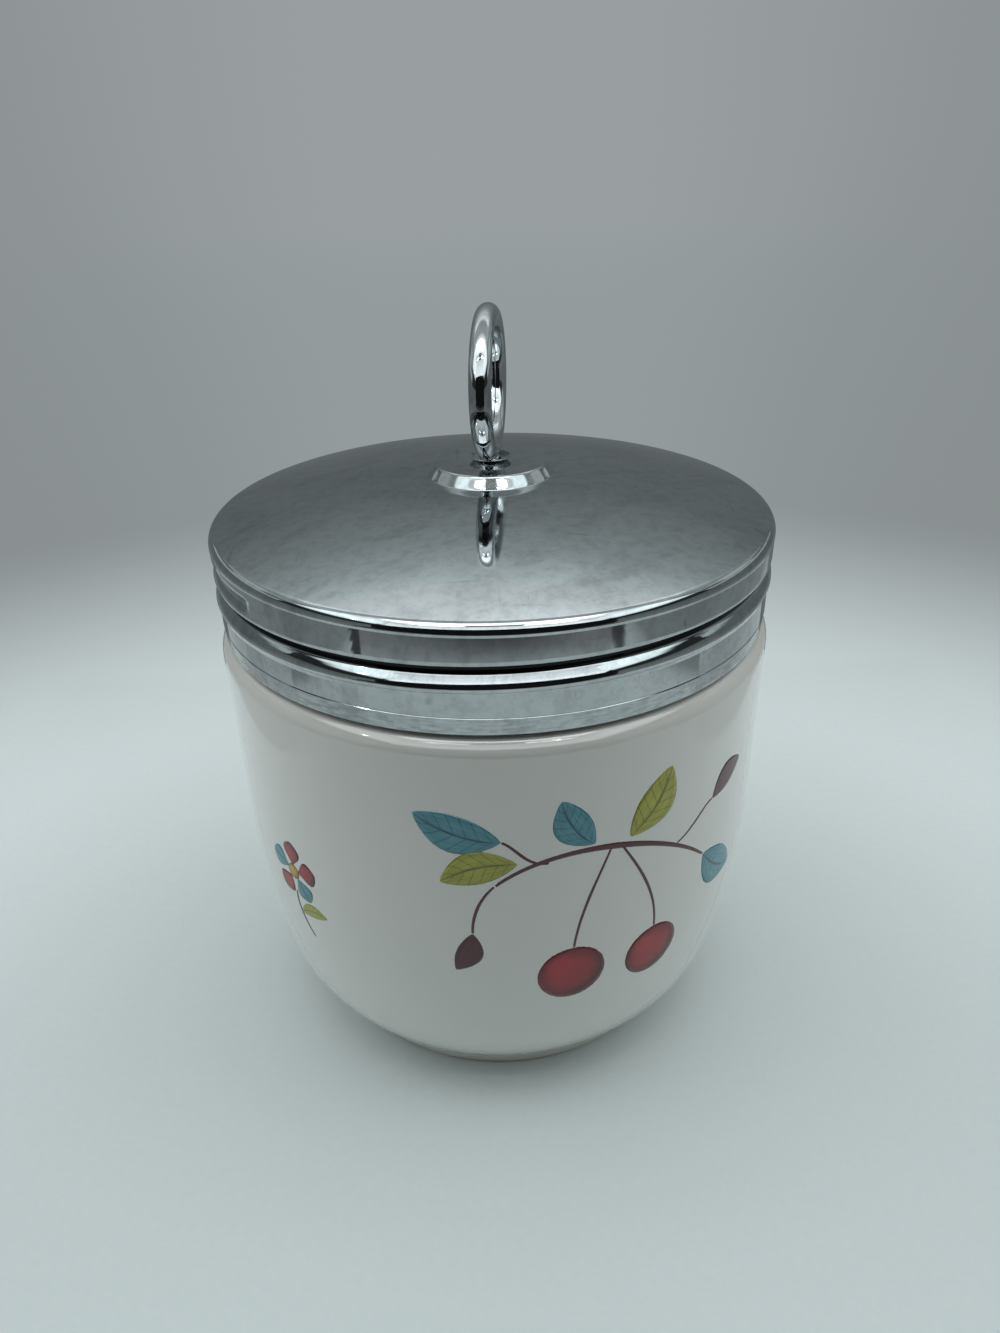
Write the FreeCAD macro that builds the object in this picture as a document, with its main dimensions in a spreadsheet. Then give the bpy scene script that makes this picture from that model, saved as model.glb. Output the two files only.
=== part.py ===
"""Porcelain egg coddler with a screw-on metal lid, as a parametric FreeCAD document.

Lengths are millimetres and angles are degrees. The origin is the centre of the foot ring's
lower face, +Z is up and the front of the object looks along -Y. Angles round the screw
thread start at the front and grow anticlockwise, seen from above.
"""

import FreeCAD, Part
import Sketcher

import math
import os
import re

SIZES = {
    # Porcelain pot, outside
    "pot_radius": 40.5,
    "belly_height": 39.0,
    "belly_curve": 112.0,
    "heel_curve": 20.0,
    "foot_inset": 10.2,
    "foot_height": 2.4,
    "foot_width": 3.0,
    "foot_recess": 2.0,
    "foot_bevel": 0.5,
    "shoulder_height": 66.5,
    "shoulder_round": 1.6,
    # Porcelain pot, neck and inside
    "neck_clearance": 0.3,
    "neck_wall": 3.4,
    "floor_thickness": 5.0,
    "floor_round": 20.0,
    "rim_round": 1.1,
    # Pressed lid
    "lid_setback": 0.5,
    "lid_gap": 0.5,
    "lid_seat_clearance": 0.3,
    "sheet_thickness": 0.6,
    "band_height": 14.2,
    "skirt_height": 7.6,
    "skirt_inset": 0.2,
    "skirt_step_height": 0.3,
    "hem_height": 2.4,
    "hem_inset": 0.2,
    "rim_corner": 1.0,
    "dome_curve": 148.0,
    "boss_base_radius": 9.05,
    "boss_top_radius": 8.15,
    "boss_rise": 1.1,
    "boss_round": 0.75,
    # Screw thread: widths across each ridge or groove, at its root and at its crest or floor
    "thread_pitch": 3.0,
    "thread_clearance": 0.1,
    "root_bite": 0.2,
    "end_swell": 0.01,
    "groove_height": 8.65,
    "groove_depth": 0.85,
    "groove_mouth": 1.4,
    "groove_floor": 0.6,
    "groove_low_angle": -120.0,
    "groove_turns": 1.2,
    "lid_ridge_height": 1.0,
    "lid_ridge_root": 1.5,
    "lid_ridge_crest": 0.8,
    "neck_ridge_height": 0.8,
    "neck_ridge_root": 1.4,
    "neck_ridge_crest": 0.6,
    "neck_ridge_low_angle": -270.0,
    "neck_ridge_turns": 1.25,
    # Bead under the groove
    "bead_drop": 1.15,
    "bead_proud": 0.15,
    "bead_root": 1.1,
    "bead_crest": 0.3,
    "bead_low_angle": -120.0,
    "bead_turns": 0.8,
    # Lifting ring, collar, stem and backing washer
    "wire_radius": 1.5,
    "ring_radius": 8.9,
    "ring_angle": 7.3,
    "ring_seat_clearance": 0.05,
    "collar_radius": 2.95,
    "collar_foot_radius": 2.4,
    "collar_height": 0.75,
    "collar_lip": 0.15,
    "dish_depth": 0.3,
    "stem_radius": 1.25,
    "stem_clearance": 0.08,
    "washer_radius": 5.0,
    "washer_thickness": 0.8,
    "washer_bevel": 0.2,
    "peened_radius": 2.3,
    "peened_height": 1.1,
}

# Places that several pieces share, as expressions on the sizes.
LID_RADIUS = "(pot_radius - lid_setback)"
LID_BASE = "(shoulder_height + lid_gap)"
RIM_HEIGHT = f"({LID_BASE} + band_height)"
SKIRT_RADIUS = f"({LID_RADIUS} - skirt_inset)"
HEM_RADIUS = f"({SKIRT_RADIUS} - hem_inset)"
DOME_CENTRE = f"({RIM_HEIGHT} - sqrt(dome_curve^2 - {LID_RADIUS}^2))"
BOSS_TOP = f"({DOME_CENTRE} + dome_curve + boss_rise)"
BOSS_UNDERSIDE = f"({BOSS_TOP} - sheet_thickness)"
STEM_HOLE = "(stem_radius + stem_clearance)"
DISH_BOTTOM = f"({BOSS_TOP} + collar_height - dish_depth)"
RING_BOTTOM = f"({DISH_BOTTOM} + ring_seat_clearance)"
RING_CENTRE = f"({RING_BOTTOM} + wire_radius + ring_radius)"

NECK_CREST = f"({HEM_RADIUS} - sheet_thickness - neck_clearance)"
NECK_RADIUS = f"({NECK_CREST} - neck_ridge_height)"
BORE_RADIUS = f"({NECK_RADIUS} - neck_wall)"
DOME_OVER_NECK = f"({DOME_CENTRE} + sqrt((dome_curve - sheet_thickness)^2 - {NECK_RADIUS}^2))"
NECK_TOP = f"({DOME_OVER_NECK} - lid_seat_clearance)"
FLOOR_HEIGHT = "(foot_recess + floor_thickness)"
FLOOR_RADIUS = f"({BORE_RADIUS} - floor_round)"
FOOT_RADIUS = "(pot_radius - foot_inset)"
FOOT_BORE = f"({FOOT_RADIUS} - foot_width)"

# The lid's ridge and the neck's ridge follow one screw line, a flank clearance apart.
GROOVE_HEIGHT = f"({LID_BASE} + groove_height)"
FLANK_DISTANCE = "((lid_ridge_crest + neck_ridge_root) / 2 + thread_clearance)"
NECK_RIDGE_HEIGHT = f"({GROOVE_HEIGHT} + {FLANK_DISTANCE})"
BEAD_HEIGHT = f"({GROOVE_HEIGHT} - bead_drop)"


def size(expression):
    """Return an expression with each size's name turned into a reference to its cell."""
    return re.sub(
        r"[a-z_]+", lambda word: f"Sizes.{word[0]}" if word[0] in SIZES else word[0], expression
    )


def make_sheet(doc):
    """Write the driving dimensions into the spreadsheet, one aliased row each."""
    sheet = doc.addObject("Spreadsheet::Sheet", "Sizes")
    for row, (alias, value) in enumerate(SIZES.items(), 1):
        sheet.set(f"A{row}", alias)
        sheet.set(f"B{row}", str(value))
        sheet.setAlias(f"B{row}", alias)
    doc.recompute()


def make_body(doc, name):
    """Start one sub-part as a PartDesign body that is labelled with its name."""
    body = doc.addObject("PartDesign::Body", name)
    body.Label = name
    return body


def upright_sketch(body, name, turn=None):
    """Return an empty sketch on the body's upright XZ plane, turned about Z if asked."""
    plane = next(item for item in body.Origin.OriginFeatures if item.Role == "XZ_Plane")
    sketch = body.newObject("Sketcher::SketchObject", name)
    sketch.AttachmentSupport = [(plane, "")]
    sketch.MapMode = "FlatFace"
    if turn is not None:
        about_z = FreeCAD.Rotation(FreeCAD.Vector(0, 1, 0), 1)
        sketch.AttachmentOffset = FreeCAD.Placement(FreeCAD.Vector(), about_z)
        sketch.setExpression("AttachmentOffset.Rotation.Angle", size(turn))
    return sketch


class Outline:
    """A closed sketch profile whose corners and curves are tied to the sheet."""

    def __init__(self, sketch):
        self.sketch = sketch

    def value(self, expression):
        """Return an expression's present value."""
        return float(self.sketch.evalExpression(size(expression)))

    def point(self, corner):
        """Return the place of a corner given as a pair of expressions."""
        return FreeCAD.Vector(self.value(corner[0]), self.value(corner[1]), 0)

    def bind(self, kind, *where, expression):
        """Add a dimension and tie it to an expression."""
        constraint = Sketcher.Constraint(kind, *where, self.value(expression))
        index = self.sketch.addConstraint(constraint)
        self.sketch.setExpression(f"Constraints[{index}]", size(expression))

    def relate(self, kind, *where):
        """Add a geometric relation."""
        self.sketch.addConstraint(Sketcher.Constraint(kind, *where))

    def pin(self, side, end, corner):
        """Hold one end of a side at a corner: distance from the axis, then height."""
        for kind, axis, expression in (("DistanceX", -2, corner[0]), ("DistanceY", -1, corner[1])):
            if expression == "0":
                self.relate("PointOnObject", side, end, axis)
            else:
                self.bind(kind, -1, 1, side, end, expression=expression)

    def chain(self, corners):
        """Draw straight sides from corner to corner and return the first and last side."""
        first = self.sketch.GeometryCount
        points = [self.point(corner) for corner in corners]
        for step, (start, end) in enumerate(zip(points, points[1:])):
            self.sketch.addGeometry(Part.LineSegment(start, end), False)
            self.pin(first + step, 1, corners[step])
            if step:
                self.join(first + step - 1, first + step)
        return first, self.sketch.GeometryCount - 1

    def join(self, side, next_side):
        """Make one side's end the next side's start."""
        self.relate("Coincident", side, 2, next_side, 1)

    def polygon(self, corners):
        """Draw a closed outline of straight sides with every corner pinned."""
        first, last = self.chain(corners + corners[:1])
        self.join(last, first)

    def arc(self, centre, start, end, radius):
        """Draw an anticlockwise arc from start to end round a centre and bind its radius."""
        spokes = [place - centre for place in (start, end)]
        angles = [math.atan2(spoke.y, spoke.x) for spoke in spokes]
        circle = Part.Circle(centre, FreeCAD.Vector(0, 0, 1), self.value(radius))
        side = self.sketch.addGeometry(Part.ArcOfCircle(circle, *angles), False)
        self.bind("Radius", side, expression=radius)
        return side


def inner_tangent_centre(outer_centre, outer_radius, through, radius):
    """Return the centre of an arc through a point that touches a larger arc from inside."""
    span = through - outer_centre
    reach = outer_radius - radius
    along = (reach**2 - radius**2 + span.Length**2) / (2 * span.Length)
    unit = FreeCAD.Vector(span).normalize()
    left = FreeCAD.Vector(-unit.y, unit.x, 0)
    return outer_centre + unit * along + left * math.sqrt(reach**2 - along**2)


def revolve(body, name, sketch, kind="Revolution"):
    """Turn a sketch a full turn about Z, as material or as a cut."""
    feature = body.newObject(f"PartDesign::{kind}", name)
    feature.Profile = sketch
    feature.ReferenceAxis = (sketch, ["V_Axis"])
    feature.Angle = 360


def soften_rings(body, name, kind, amount, rings):
    """Fillet or chamfer the body's circular edges at distances from the axis and heights."""
    body.Document.recompute()
    base = body.Tip
    places = [[float(base.evalExpression(size(part))) for part in ring] for ring in rings]
    edges = []
    for number, edge in enumerate(base.Shape.Edges, 1):
        if not isinstance(edge.Curve, Part.Circle):
            continue
        here = [edge.Curve.Radius, edge.Curve.Center.z]
        if any(math.dist(here, place) < 1e-3 for place in places):
            edges.append(f"Edge{number}")
    feature = body.newObject(f"PartDesign::{kind}", name)
    feature.Base = (base, edges)
    feature.setExpression("Radius" if kind == "Fillet" else "Size", size(amount))


class ThreadRun:
    """A ridge or groove that climbs a wall on the thread's right-hand screw line.

    Its section is a trapezoid from a root to a crest, both distances from the axis, and each
    end is a cone of the same section. Height is where the run passes the front.
    """

    def __init__(self, body, name, kind, root, crest, widths):
        self.body, self.name, self.kind = body, name, kind
        self.root, self.crest = root, crest
        self.root_width, self.crest_width = widths

    def climb(self, height, low_angle, turns):
        """Run up the screw line from the low angle and close both ends."""
        low_height = f"({height} + thread_pitch * {low_angle} / 360)"
        top_height = f"({low_height} + thread_pitch * {turns})"
        sketch = upright_sketch(self.body, f"{self.name}_section", turn=f"{low_angle} - 90")
        Outline(sketch).polygon([
            (self.root, f"{low_height} - {self.root_width} / 2"),
            (self.crest, f"{low_height} - {self.crest_width} / 2"),
            (self.crest, f"{low_height} + {self.crest_width} / 2"),
            (self.root, f"{low_height} + {self.root_width} / 2"),
        ])
        self.sweep(sketch, turns)
        self.close("low_end", low_height, low_angle)
        self.close("top_end", top_height, f"({low_angle} + 360 * {turns})")

    def sweep(self, sketch, turns):
        """Sweep the section up the screw line."""
        run = self.body.newObject(f"PartDesign::{self.kind}Helix", f"{self.name}_run")
        run.Profile = sketch
        run.ReferenceAxis = (sketch, ["V_Axis"])
        run.Mode = "pitch-turns-angle"
        run.Refine = False
        run.setExpression("Pitch", size("thread_pitch"))
        run.setExpression("Turns", size(turns))

    def close(self, end, height, angle):
        """Round one end off with a cone that points from the root to the crest."""
        cone = self.body.newObject(f"PartDesign::{self.kind}Cone", f"{self.name}_{end}")
        cone.Refine = False
        cone.setExpression("Radius1", size(f"{self.root_width} / 2 + end_swell"))
        cone.setExpression("Radius2", size(f"{self.crest_width} / 2 + end_swell"))
        cone.setExpression("Height", size(f"abs({self.crest} - {self.root}) + end_swell"))
        bearing = f"({angle} - 90)"
        place = f"vector({self.root} * cos{bearing}; {self.root} * sin{bearing}; {height})"
        pitch = f"({self.crest} > {self.root} ? 90 : -90)"
        cone.setExpression("Placement", size(f"placement({place}; rotation({bearing}; {pitch}; 0))"))


def make_pot(doc):
    """The porcelain pot: straight wall, rounded heel, foot ring, bore and threaded neck."""
    body = make_body(doc, "pot")
    outline = Outline(upright_sketch(body, "pot_outline"))
    foot_top = (FOOT_RADIUS, "foot_height")
    wall_base = ("pot_radius", "belly_height")
    floor_edge = (FLOOR_RADIUS, FLOOR_HEIGHT)
    bore_base = (BORE_RADIUS, f"{FLOOR_HEIGHT} + floor_round")
    foot, floor = outline.chain([
        foot_top,
        (FOOT_RADIUS, "0"),
        (FOOT_BORE, "0"),
        (FOOT_BORE, "foot_recess"),
        ("0", "foot_recess"),
        ("0", FLOOR_HEIGHT),
        floor_edge,
    ])
    bore, wall = outline.chain([
        bore_base,
        (BORE_RADIUS, NECK_TOP),
        (NECK_RADIUS, NECK_TOP),
        (NECK_RADIUS, "shoulder_height"),
        ("pot_radius", "shoulder_height"),
        wall_base,
    ])
    outline.pin(wall, 2, wall_base)
    bowl_centre = outline.point((FLOOR_RADIUS, bore_base[1]))
    bowl = outline.arc(
        bowl_centre, outline.point(floor_edge), outline.point(bore_base), "floor_round"
    )
    outline.pin(bowl, 1, floor_edge)
    outline.join(floor, bowl)
    outline.join(bowl, bore)
    belly_radius = outline.value("belly_curve")
    belly_centre = outline.point(wall_base) - FreeCAD.Vector(belly_radius, 0, 0)
    heel_start = outline.point(foot_top)
    heel_centre = inner_tangent_centre(
        belly_centre, belly_radius, heel_start, outline.value("heel_curve")
    )
    meeting = belly_centre + (heel_centre - belly_centre).normalize() * belly_radius
    heel = outline.arc(heel_centre, heel_start, meeting, "heel_curve")
    belly = outline.arc(belly_centre, meeting, outline.point(wall_base), "belly_curve")
    outline.relate("Coincident", heel, 1, foot, 1)
    outline.relate("Tangent", heel, 2, belly, 1)
    outline.relate("Tangent", belly, 2, wall, 2)
    revolve(body, "pot_turning", outline.sketch)
    shoulder = ("pot_radius", "shoulder_height")
    rims = [(NECK_RADIUS, NECK_TOP), (BORE_RADIUS, NECK_TOP)]
    soften_rings(body, "shoulder_rounding", "Fillet", "shoulder_round", [shoulder])
    soften_rings(body, "rim_rounding", "Fillet", "rim_round", rims)
    feet = [(FOOT_RADIUS, "0"), (FOOT_BORE, "0")]
    soften_rings(body, "foot_bevelling", "Chamfer", "foot_bevel", feet)
    thread = ThreadRun(
        body, "neck_thread", "Additive", f"({NECK_RADIUS} - root_bite)", NECK_CREST,
        ("neck_ridge_root", "neck_ridge_crest"),
    )
    thread.climb(NECK_RIDGE_HEIGHT, "neck_ridge_low_angle", "neck_ridge_turns")
    return body


def make_lid_cap(doc):
    """The pressed lid: low dome, raised centre, banded side with rolled thread and bead."""
    body = make_body(doc, "lid_cap")
    outline = Outline(upright_sketch(body, "lid_outline"))
    rim = (LID_RADIUS, RIM_HEIGHT)
    skirt_top = f"({LID_BASE} + skirt_height)"
    hem_top = f"({LID_BASE} + hem_height)"
    first, side = outline.chain([
        ("0", BOSS_TOP),
        ("0", LID_BASE),
        (HEM_RADIUS, LID_BASE),
        (SKIRT_RADIUS, hem_top),
        (SKIRT_RADIUS, skirt_top),
        (LID_RADIUS, f"{skirt_top} + skirt_step_height"),
        rim,
    ])
    centre = outline.point(("0", DOME_CENTRE))
    base_radius = outline.value("boss_base_radius")
    base_rise = math.sqrt(outline.value("dome_curve") ** 2 - base_radius**2)
    boss_base = centre + FreeCAD.Vector(base_radius, base_rise, 0)
    boss_edge = ("boss_top_radius", BOSS_TOP)
    dome = outline.arc(centre, outline.point(rim), boss_base, "dome_curve")
    outline.pin(dome, 1, rim)
    outline.relate("Coincident", side, 2, dome, 1)
    outline.relate("PointOnObject", dome, 3, -2)
    outline.bind("DistanceX", -1, 1, dome, 2, expression="boss_base_radius")
    bevel = outline.sketch.addGeometry(
        Part.LineSegment(boss_base, outline.point(boss_edge)), False
    )
    plateau = outline.sketch.addGeometry(
        Part.LineSegment(outline.point(boss_edge), outline.point(("0", BOSS_TOP))), False
    )
    outline.join(dome, bevel)
    outline.join(bevel, plateau)
    outline.join(plateau, first)
    outline.pin(plateau, 1, boss_edge)
    revolve(body, "lid_blank", outline.sketch)
    soften_rings(body, "boss_edge_rounding", "Fillet", "boss_round", [boss_edge])
    soften_rings(body, "rim_corner_rounding", "Fillet", "rim_corner", [rim])
    draw_shell(body, "pressed_sheet", "sheet_thickness", LID_BASE)
    inner_wall = f"({LID_RADIUS} - sheet_thickness)"
    ridge = ThreadRun(
        body, "lid_ridge", "Additive", f"({inner_wall} + root_bite)",
        f"({inner_wall} - lid_ridge_height)", ("lid_ridge_root", "lid_ridge_crest"),
    )
    bead = ThreadRun(
        body, "bead", "Additive", f"({SKIRT_RADIUS} - root_bite)",
        f"({LID_RADIUS} + bead_proud)", ("bead_root", "bead_crest"),
    )
    groove = ThreadRun(
        body, "lid_groove", "Subtractive", f"({LID_RADIUS} + root_bite)",
        f"({LID_RADIUS} - groove_depth)", ("groove_mouth", "groove_floor"),
    )
    ridge.climb(GROOVE_HEIGHT, "groove_low_angle", "groove_turns")
    bead.climb(BEAD_HEIGHT, "bead_low_angle", "bead_turns")
    groove.climb(GROOVE_HEIGHT, "groove_low_angle", "groove_turns")
    hole = Outline(upright_sketch(body, "stem_hole_outline"))
    hole.polygon([
        ("0", f"{BOSS_UNDERSIDE} - sheet_thickness"),
        (STEM_HOLE, f"{BOSS_UNDERSIDE} - sheet_thickness"),
        (STEM_HOLE, f"{BOSS_TOP} + sheet_thickness"),
        ("0", f"{BOSS_TOP} + sheet_thickness"),
    ])
    revolve(body, "stem_hole", hole.sketch, "Groove")
    return body


def draw_shell(body, name, thickness, open_height):
    """Hollow a solid into sheet of one thickness, open at its flat face at a height."""
    body.Document.recompute()
    base = body.Tip
    height = float(base.evalExpression(size(open_height)))
    mouths = [
        f"Face{number}"
        for number, face in enumerate(base.Shape.Faces, 1)
        if abs(face.BoundBox.ZMax - height) < 1e-3
    ]
    shell = body.newObject("PartDesign::Thickness", name)
    shell.Base = (base, mouths)
    shell.Mode = "Skin"
    shell.Join = "Intersection"
    shell.Reversed = True
    shell.setExpression("Value", size(thickness))


def make_ring_collar(doc):
    """The small collar with a dished top that seats the ring on the lid's raised centre."""
    body = make_body(doc, "ring_collar")
    outline = Outline(upright_sketch(body, "collar_outline"))
    lip = ("collar_radius", f"{BOSS_TOP} + collar_height")
    dish = (STEM_HOLE, DISH_BOTTOM)
    first, last = outline.chain([
        dish,
        (STEM_HOLE, BOSS_TOP),
        ("collar_foot_radius", BOSS_TOP),
        ("collar_radius", f"{BOSS_TOP} + collar_height - collar_lip"),
        lip,
    ])
    dish_curve = f"(({lip[0]} - {dish[0]})^2 + dish_depth^2) / (2 * dish_depth)"
    lip_point, dish_point = outline.point(lip), outline.point(dish)
    curve_radius = outline.value(dish_curve)
    centre = dish_point + FreeCAD.Vector(0, curve_radius, 0)
    arc = outline.arc(centre, dish_point, lip_point, dish_curve)
    outline.relate("Coincident", last, 2, arc, 2)
    outline.relate("Coincident", arc, 1, first, 1)
    outline.pin(arc, 2, lip)
    revolve(body, "collar_turning", outline.sketch)
    return body


def make_lifting_ring(doc):
    """The wire ring with its stem and the end that is peened over the backing washer."""
    body = make_body(doc, "lifting_ring")
    wire = body.newObject("PartDesign::AdditiveTorus", "ring_wire")
    wire.setExpression("Radius1", size("ring_radius"))
    wire.setExpression("Radius2", size("wire_radius"))
    wire.Placement = FreeCAD.Placement(
        FreeCAD.Vector(), FreeCAD.Rotation(FreeCAD.Vector(0, 1, 0), 90)
    )
    wire.setExpression("Placement.Base.z", size(RING_CENTRE))
    outline = Outline(upright_sketch(body, "stem_outline"))
    seat = f"{BOSS_UNDERSIDE} - washer_thickness"
    tip = ("0", f"{seat} - peened_height")
    edge = ("peened_radius", seat)
    first, last = outline.chain([
        edge,
        ("stem_radius", seat),
        ("stem_radius", f"{RING_BOTTOM} + wire_radius"),
        ("0", f"{RING_BOTTOM} + wire_radius"),
        tip,
    ])
    curve = "(peened_radius^2 + peened_height^2) / (2 * peened_height)"
    centre = outline.point(tip) + FreeCAD.Vector(0, outline.value(curve), 0)
    dome = outline.arc(centre, outline.point(tip), outline.point(edge), curve)
    outline.join(last, dome)
    outline.join(dome, first)
    outline.pin(dome, 1, tip)
    revolve(body, "stem_turning", outline.sketch)
    body.Placement = FreeCAD.Placement(
        FreeCAD.Vector(), FreeCAD.Rotation(FreeCAD.Vector(0, 0, -1), 1)
    )
    body.setExpression("Placement.Rotation.Angle", size("ring_angle"))
    return body


def make_backing_washer(doc):
    """The round washer under the lid's centre that the peened end clamps."""
    body = make_body(doc, "backing_washer")
    outline = Outline(upright_sketch(body, "washer_outline"))
    low_edge = ("washer_radius", f"{BOSS_UNDERSIDE} - washer_thickness")
    outline.polygon([
        (STEM_HOLE, BOSS_UNDERSIDE),
        (STEM_HOLE, low_edge[1]),
        low_edge,
        ("washer_radius", BOSS_UNDERSIDE),
    ])
    revolve(body, "washer_blank", outline.sketch)
    soften_rings(body, "washer_bevelling", "Chamfer", "washer_bevel", [low_edge])
    return body


def write_parts(doc, bodies):
    """Check every object and sub-part, and write each sub-part's STEP file."""
    doc.recompute()
    for item in doc.Objects:
        if {"Invalid", "Error"} & set(item.State):
            raise RuntimeError(f"{item.Label} failed to compute: {item.State}")
    os.makedirs("parts", exist_ok=True)
    for body in bodies:
        shape = body.Shape
        if shape.isNull() or not shape.isValid() or len(shape.Solids) != 1:
            raise RuntimeError(f"{body.Label} is not one valid solid")
        shape.exportStep(f"parts/{body.Label}.step")
        print(f"{body.Label}: {shape.Volume:.1f} cubic millimetres, box {shape.BoundBox}")


def main():
    """Build the coddler's sub-parts and write them out."""
    doc = FreeCAD.newDocument("egg_coddler")
    make_sheet(doc)
    makers = (make_pot, make_lid_cap, make_ring_collar, make_lifting_ring, make_backing_washer)
    write_parts(doc, [make(doc) for make in makers])


main()
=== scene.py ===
"""Looks of a porcelain egg coddler with a screw-on chromed lid and a lifting ring.

Lengths are metres in the frame's own axes: +Z up, -Y towards the front of the decoration, origin
under the middle of the foot ring. Sizes that read better in millimetres are written so and are
multiplied by MM. Bearings round the axis start at the front and grow anticlockwise from above.
"""

import logging
import math
from collections.abc import Iterable, Sequence
from dataclasses import dataclass
from enum import Enum
from functools import partialmethod

import bmesh
import bpy
import numpy as np
from mathutils import Matrix, Vector


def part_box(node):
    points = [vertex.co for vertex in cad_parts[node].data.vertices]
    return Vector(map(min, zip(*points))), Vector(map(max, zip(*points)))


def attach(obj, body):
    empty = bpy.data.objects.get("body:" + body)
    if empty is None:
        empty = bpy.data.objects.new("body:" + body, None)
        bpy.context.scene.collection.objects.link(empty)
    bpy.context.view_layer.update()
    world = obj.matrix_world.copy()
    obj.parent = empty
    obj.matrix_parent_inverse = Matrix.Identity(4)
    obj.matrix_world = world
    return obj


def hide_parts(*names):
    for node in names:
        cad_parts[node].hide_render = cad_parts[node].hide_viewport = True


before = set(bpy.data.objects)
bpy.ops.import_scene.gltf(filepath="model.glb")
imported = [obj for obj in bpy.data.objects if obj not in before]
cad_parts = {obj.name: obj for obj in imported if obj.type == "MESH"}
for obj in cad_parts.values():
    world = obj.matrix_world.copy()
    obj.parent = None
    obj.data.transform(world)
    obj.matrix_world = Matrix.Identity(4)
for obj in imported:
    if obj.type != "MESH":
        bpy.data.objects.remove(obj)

LOG = logging.getLogger("coddler")
MM = 0.001
TAU = math.tau
TURNING_WELD = 1e-6
SAME_PLACE = 1e-7
Colour = tuple[float, float, float, float]
Place = tuple[float, float]
Point = tuple[float, float, float]
Piece = bpy.types.Object
Material = bpy.types.Material


def tint(red: int, green: int, blue: int) -> Colour:
    """Return a display colour as linear light.

    Args:
        red: Its red, from 0 to 255.
        green: Its green.
        blue: Its blue.

    Returns:
        The colour, opaque.
    """
    steps = [value / 255 for value in (red, green, blue)]
    light = [s / 12.92 if s <= 0.04045 else ((s + 0.055) / 1.055) ** 2.4 for s in steps]
    return (*light, 1.0)


def dimmed(colour: Colour, share: float) -> Colour:
    """Return a colour with only a share of its light."""
    return (*(value * share for value in colour[:3]), 1.0)


DAYLIGHT = tint(246, 253, 255)
TENT_LIGHT = tint(240, 253, 254)


# Node trees


class Wire:
    """A node's output that takes part in arithmetic; each operation adds a Math node."""

    def __init__(self, tree: "Tree", socket: bpy.types.NodeSocket) -> None:
        """Wrap one output socket of a tree."""
        self.tree, self.socket = tree, socket

    def before(self, operation: str, other: "Wire | float") -> "Wire":
        """Work with another value that comes second."""
        return self.tree.maths(operation, self, other)

    def after(self, operation: str, other: float) -> "Wire":
        """Work with a number that comes first, as in 1 - mask."""
        return self.tree.maths(operation, other, self)

    __add__ = __radd__ = partialmethod(before, "ADD")
    __sub__, __rsub__ = partialmethod(before, "SUBTRACT"), partialmethod(after, "SUBTRACT")
    __mul__ = __rmul__ = partialmethod(before, "MULTIPLY")
    __truediv__ = partialmethod(before, "DIVIDE")
    __gt__ = partialmethod(before, "GREATER_THAN")
    __lt__ = partialmethod(before, "LESS_THAN")

    def __neg__(self) -> "Wire":
        """Change the sign."""
        return self * -1.0

    def out(self, output: str | int) -> "Wire":
        """Return another output of the same node."""
        return Wire(self.tree, self.socket.node.outputs[output])


Value = Wire | float


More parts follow.
